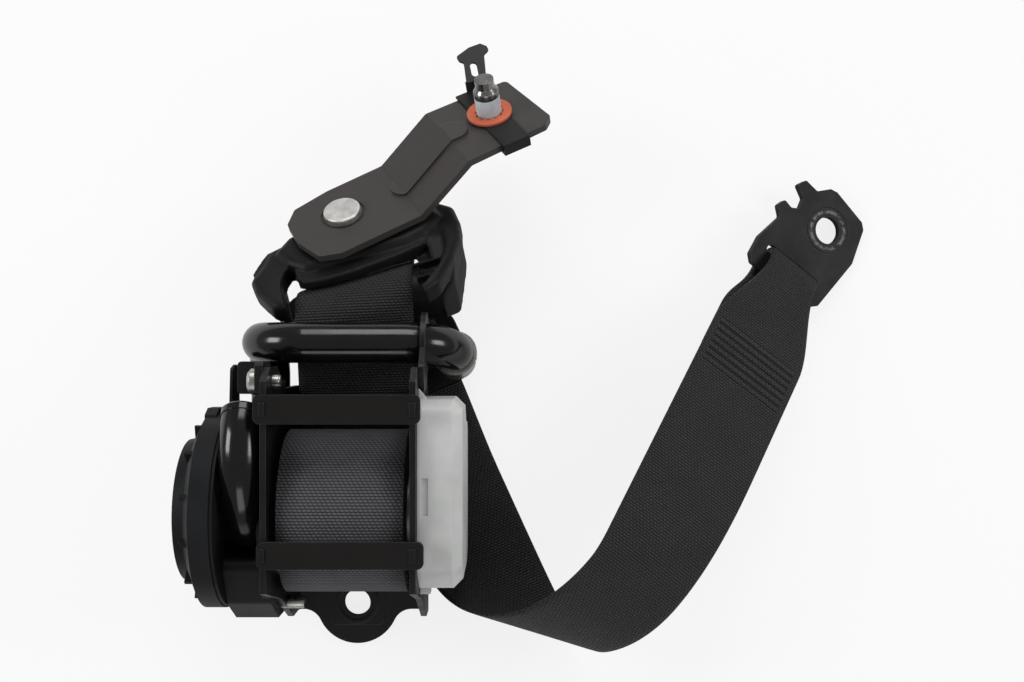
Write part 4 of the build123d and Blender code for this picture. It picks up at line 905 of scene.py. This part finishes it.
def strap_cloth():
    """The free strap as a sheet on its walk, with the share of thickness at each corner."""
    shape, layer, spots = cloth_grid(ACROSS, len(walk) - 1)
    at_bar = lengths[len(walk) - BAR_LINES - BACK_LINES]
    thick = shape.verts.layers.deform.verify()
    place = {}
    for corner, (column, row) in spots.items():
        middle, line, face, half, thickness = walk[row]
        share = column / ACROSS * 2 - 1
        ripple = RIPPLE * sin(lengths[row] / RIPPLE_STEP) * (1 - share * share)
        corner.co = middle + line * (half * share) + face * ripple
        after, before = walk[min(row + 1, len(walk) - 1)][0], walk[max(row - 1, 0)][0]
        slant = line.dot((after - before).normalized())
        place[corner] = (share * WEB_WIDTH / 2, lengths[row] - at_bar + half * share * slant)
        rim = EDGE_THICK if column in (0, ACROSS) else 1.0
        corner[thick][0] = rim * thickness / FULL_FOLD
    for face in shape.faces:
        for loop in face.loops:
            loop[layer].uv = place[loop.vert]
    return shape


def add_thickness(cloth, thickness):
    """A live Solidify modifier that thickens a sheet evenly to both sides."""
    wall = cloth.modifiers.new("thickness", "SOLIDIFY")
    wall.thickness = thickness
    wall.offset = 0.0
    return wall


strap = new_object("strap_webbing", strap_cloth(), "webbing")
strap.vertex_groups.new(name="thickness")
add_thickness(strap, FULL_FOLD).vertex_group = "thickness"
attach(strap, "retractor")
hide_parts("webbing")
print("strap cloth has", len(strap.data.polygons), "faces")

# %% [markdown]
# ## The wound webbing
# Behind the tie bars the strap is wound on its spool. A plain drum would look right from
# the front only. It is made as the real one is: one long spiral of the same cloth, so
# that its sides show the turns. The outermost half turn keeps its radius, which leaves
# the strap's start at the roll's full size.

# %% Spiral of webbing
HUB_R = 13.0 * MM
HUB_ROOM = 0.2 * MM
TURN_PITCH = 1.45 * MM
PER_TURN = 96
ROLL_ACROSS = 4
EVEN_TURN = 0.5
# The roll's outer end, as an angle round the spool.
START_ANGLE = -asin(0.914)


def roll_cloth():
    """A spiral band from the roll's full size in to the hub, and its length."""
    outer = ROLL_R - WEB_THICK / 2
    rows = int((ROLL_R - HUB_R - WEB_THICK - HUB_ROOM) / TURN_PITCH * PER_TURN)
    shape, layer, spots = cloth_grid(ROLL_ACROSS, rows)
    run = [0.0]
    for row in range(1, rows + 1):
        radius = outer - TURN_PITCH * row / PER_TURN
        run.append(run[-1] + radius * 2 * pi / PER_TURN)
    place = {}
    for corner, (column, row) in spots.items():
        radius = outer - TURN_PITCH * max(0.0, row / PER_TURN - EVEN_TURN)
        angle = START_ANGLE - 2 * pi * row / PER_TURN
        across = WEB_WIDTH * (column / ROLL_ACROSS - 0.5)
        y, z = SPOOL[1] + radius * cos(angle), SPOOL[2] + radius * sin(angle)
        corner.co = leaned((SPOOL[0] + across, y, z))
        place[corner] = (across, run[row])
    for face in shape.faces:
        for loop in face.loops:
            loop[layer].uv = place[loop.vert]
    return shape, run[-1]


shape, wound = roll_cloth()
# The roll wears the paler copy of the cloth, painted lighter to make up for the shade of the tie bars.
roll = new_object("wound_webbing_painted_lighter", shape, "wound")
add_thickness(roll, WEB_THICK)
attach(roll, "spool")
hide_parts("webbing_roll")
print("wound webbing is", round(wound / MM), "mm long")

# %% [markdown]
# ## Threads
# The pillar bolt and the frame's screws are plain pins in the model. A true helix costs
# many faces, and a thread this small reads as a row of fine rings. So each thread is a
# zigzag outline spun round its axis, which sits as a thin sleeve over the plain shank.

# %% Thread sleeves
THREAD_DEEP = 0.3 * MM
SLEEVE_WALL = 0.1 * MM
SPIN_STEPS = 40


def thread_sleeve(shape, place, axis, length, radius, pitch):
    """Add a ringed sleeve of some length round an axis that starts at a place."""
    count = round(length / pitch)
    outline = []
    for index in range(count):
        outline += [(radius, index * pitch), (radius + THREAD_DEEP, (index + 0.5) * pitch)]
    outline += [(radius, count * pitch)]
    outline += [(radius - SLEEVE_WALL, count * pitch), (radius - SLEEVE_WALL, 0.0)]
    older = set(shape.verts)
    corners = [shape.verts.new((across, 0, height)) for across, height in outline]
    edges = [shape.edges.new(pair) for pair in zip(corners, corners[1:] + corners[:1])]
    bmesh.ops.spin(
        shape,
        geom=corners + edges,
        cent=(0, 0, 0),
        axis=(0, 0, 1),
        angle=2 * pi,
        steps=SPIN_STEPS,
        use_merge=True,
    )
    made = [corner for corner in shape.verts if corner not in older]
    stand = Vector(axis).to_track_quat("Z", "Y").to_matrix().to_4x4()
    bmesh.ops.transform(shape, matrix=Matrix.Translation(place) @ stand, verts=made)
    bmesh.ops.recalc_face_normals(shape, faces=shape.faces)


print("thread helper ready")

# %% [markdown]
# The pillar bolt's lower threads are filled with a pale locking coat, and its last few
# are bare. They are two sleeves on the same shank, which both turn with the bolt.

# %% Pillar bolt
BOLT_THREAD_R = 5.02 * MM
BOLT_PITCH = 0.8 * MM
BOLT_SPANS = {
    # piece: finish, where it starts and ends above the joint
    "lock_coat": ("coat", 1.1 * MM, 9.7 * MM),
    "bare_thread": ("bolt", 9.7 * MM, 12.9 * MM),
}
joints = {joint["name"]: joint for joint in frame["joints"]}
bolt_at = Vector(joints["bolt_spin"]["pos_m"])
bolt_axis = Vector(joints["bolt_spin"]["axis"]).normalized()
for name, (finish, start, end) in BOLT_SPANS.items():
    shape = bmesh.new()
    place = bolt_at + bolt_axis * start
    thread_sleeve(shape, place, bolt_axis, end - start, BOLT_THREAD_R, BOLT_PITCH)
    sleeve = new_object(name, shape, finish)
    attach(sleeve, "bolt")
    print(name, "has", len(sleeve.data.polygons), "faces")

# %% Frame screws
SCREW_FROM = -24.6 * MM
SCREW_THREAD_R = 2.42 * MM
SCREW_PITCH = 0.7 * MM
SCREWS = {
    # name: height up the frame, depth from its back, where the thread ends
    "upper": (95.6 * MM, 62.0 * MM, -21.5 * MM),
    "lower": (23.0 * MM, 47.0 * MM, -23.2 * MM),
    "third": (6.0 * MM, 30.0 * MM, -18.0 * MM),
}
shape = bmesh.new()
for height, depth, end in SCREWS.values():
    place = leaned((SCREW_FROM, height, depth))
    thread_sleeve(shape, place, (1, 0, 0), end - SCREW_FROM, SCREW_THREAD_R, SCREW_PITCH)
threads = new_object("screw_threads", shape, "zinc")
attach(threads, "retractor")
print(len(SCREWS), "screws have threads")

# %% [markdown]
# ## Moulded pieces with soft edges
# The loop body and the tongue's grip are thick mouldings whose edges are all round. A
# bevel would need clean loops of edges, which a mesh of triangles hasn't got. A copy of
# each mesh is joined, remeshed into small even cells and smoothed a few times instead.
# That rounds every edge at once, and the piece grows no bigger.

# %% Soften the mouldings
JOIN_WITHIN = 0.002 * MM
CELL = 0.6 * MM
PASSES = 4


def merged_copy(node_name):
    """A rigid node's mesh with its loose triangles joined."""
    node = frame["nodes"][node_name]
    shape = bmesh.new()
    shape.from_mesh(node.data)
    bmesh.ops.transform(shape, matrix=node.matrix_world, verts=shape.verts)
    bmesh.ops.remove_doubles(shape, verts=shape.verts, dist=JOIN_WITHIN)
    return shape


def softened(node_name):
    """A remeshed and smoothed copy of a rigid node, which it replaces."""
    made = new_object(node_name + "_soft", merged_copy(node_name), "loop")
    cells = made.modifiers.new("cells", "REMESH")
    cells.mode = "VOXEL"
    cells.voxel_size = CELL
    remeshed = made.evaluated_get(bpy.context.evaluated_depsgraph_get())
    rebuilt = bpy.data.meshes.new_from_object(remeshed)
    made.modifiers.clear()
    shape = bmesh.new()
    shape.from_mesh(rebuilt)
    directions = {"use_axis_x": True, "use_axis_y": True, "use_axis_z": True}
    for _ in range(PASSES):
        bmesh.ops.smooth_vert(shape, verts=shape.verts, factor=0.5, **directions)
    fill_mesh(made.data, shape)
    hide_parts(node_name)
    return made


for node_name, body in (("pillar_loop_body", "retractor"), ("tongue_grip", "tongue")):
    moulding = softened(node_name)
    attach(moulding, body)
    print(moulding.name, "has", len(moulding.data.polygons), "faces")
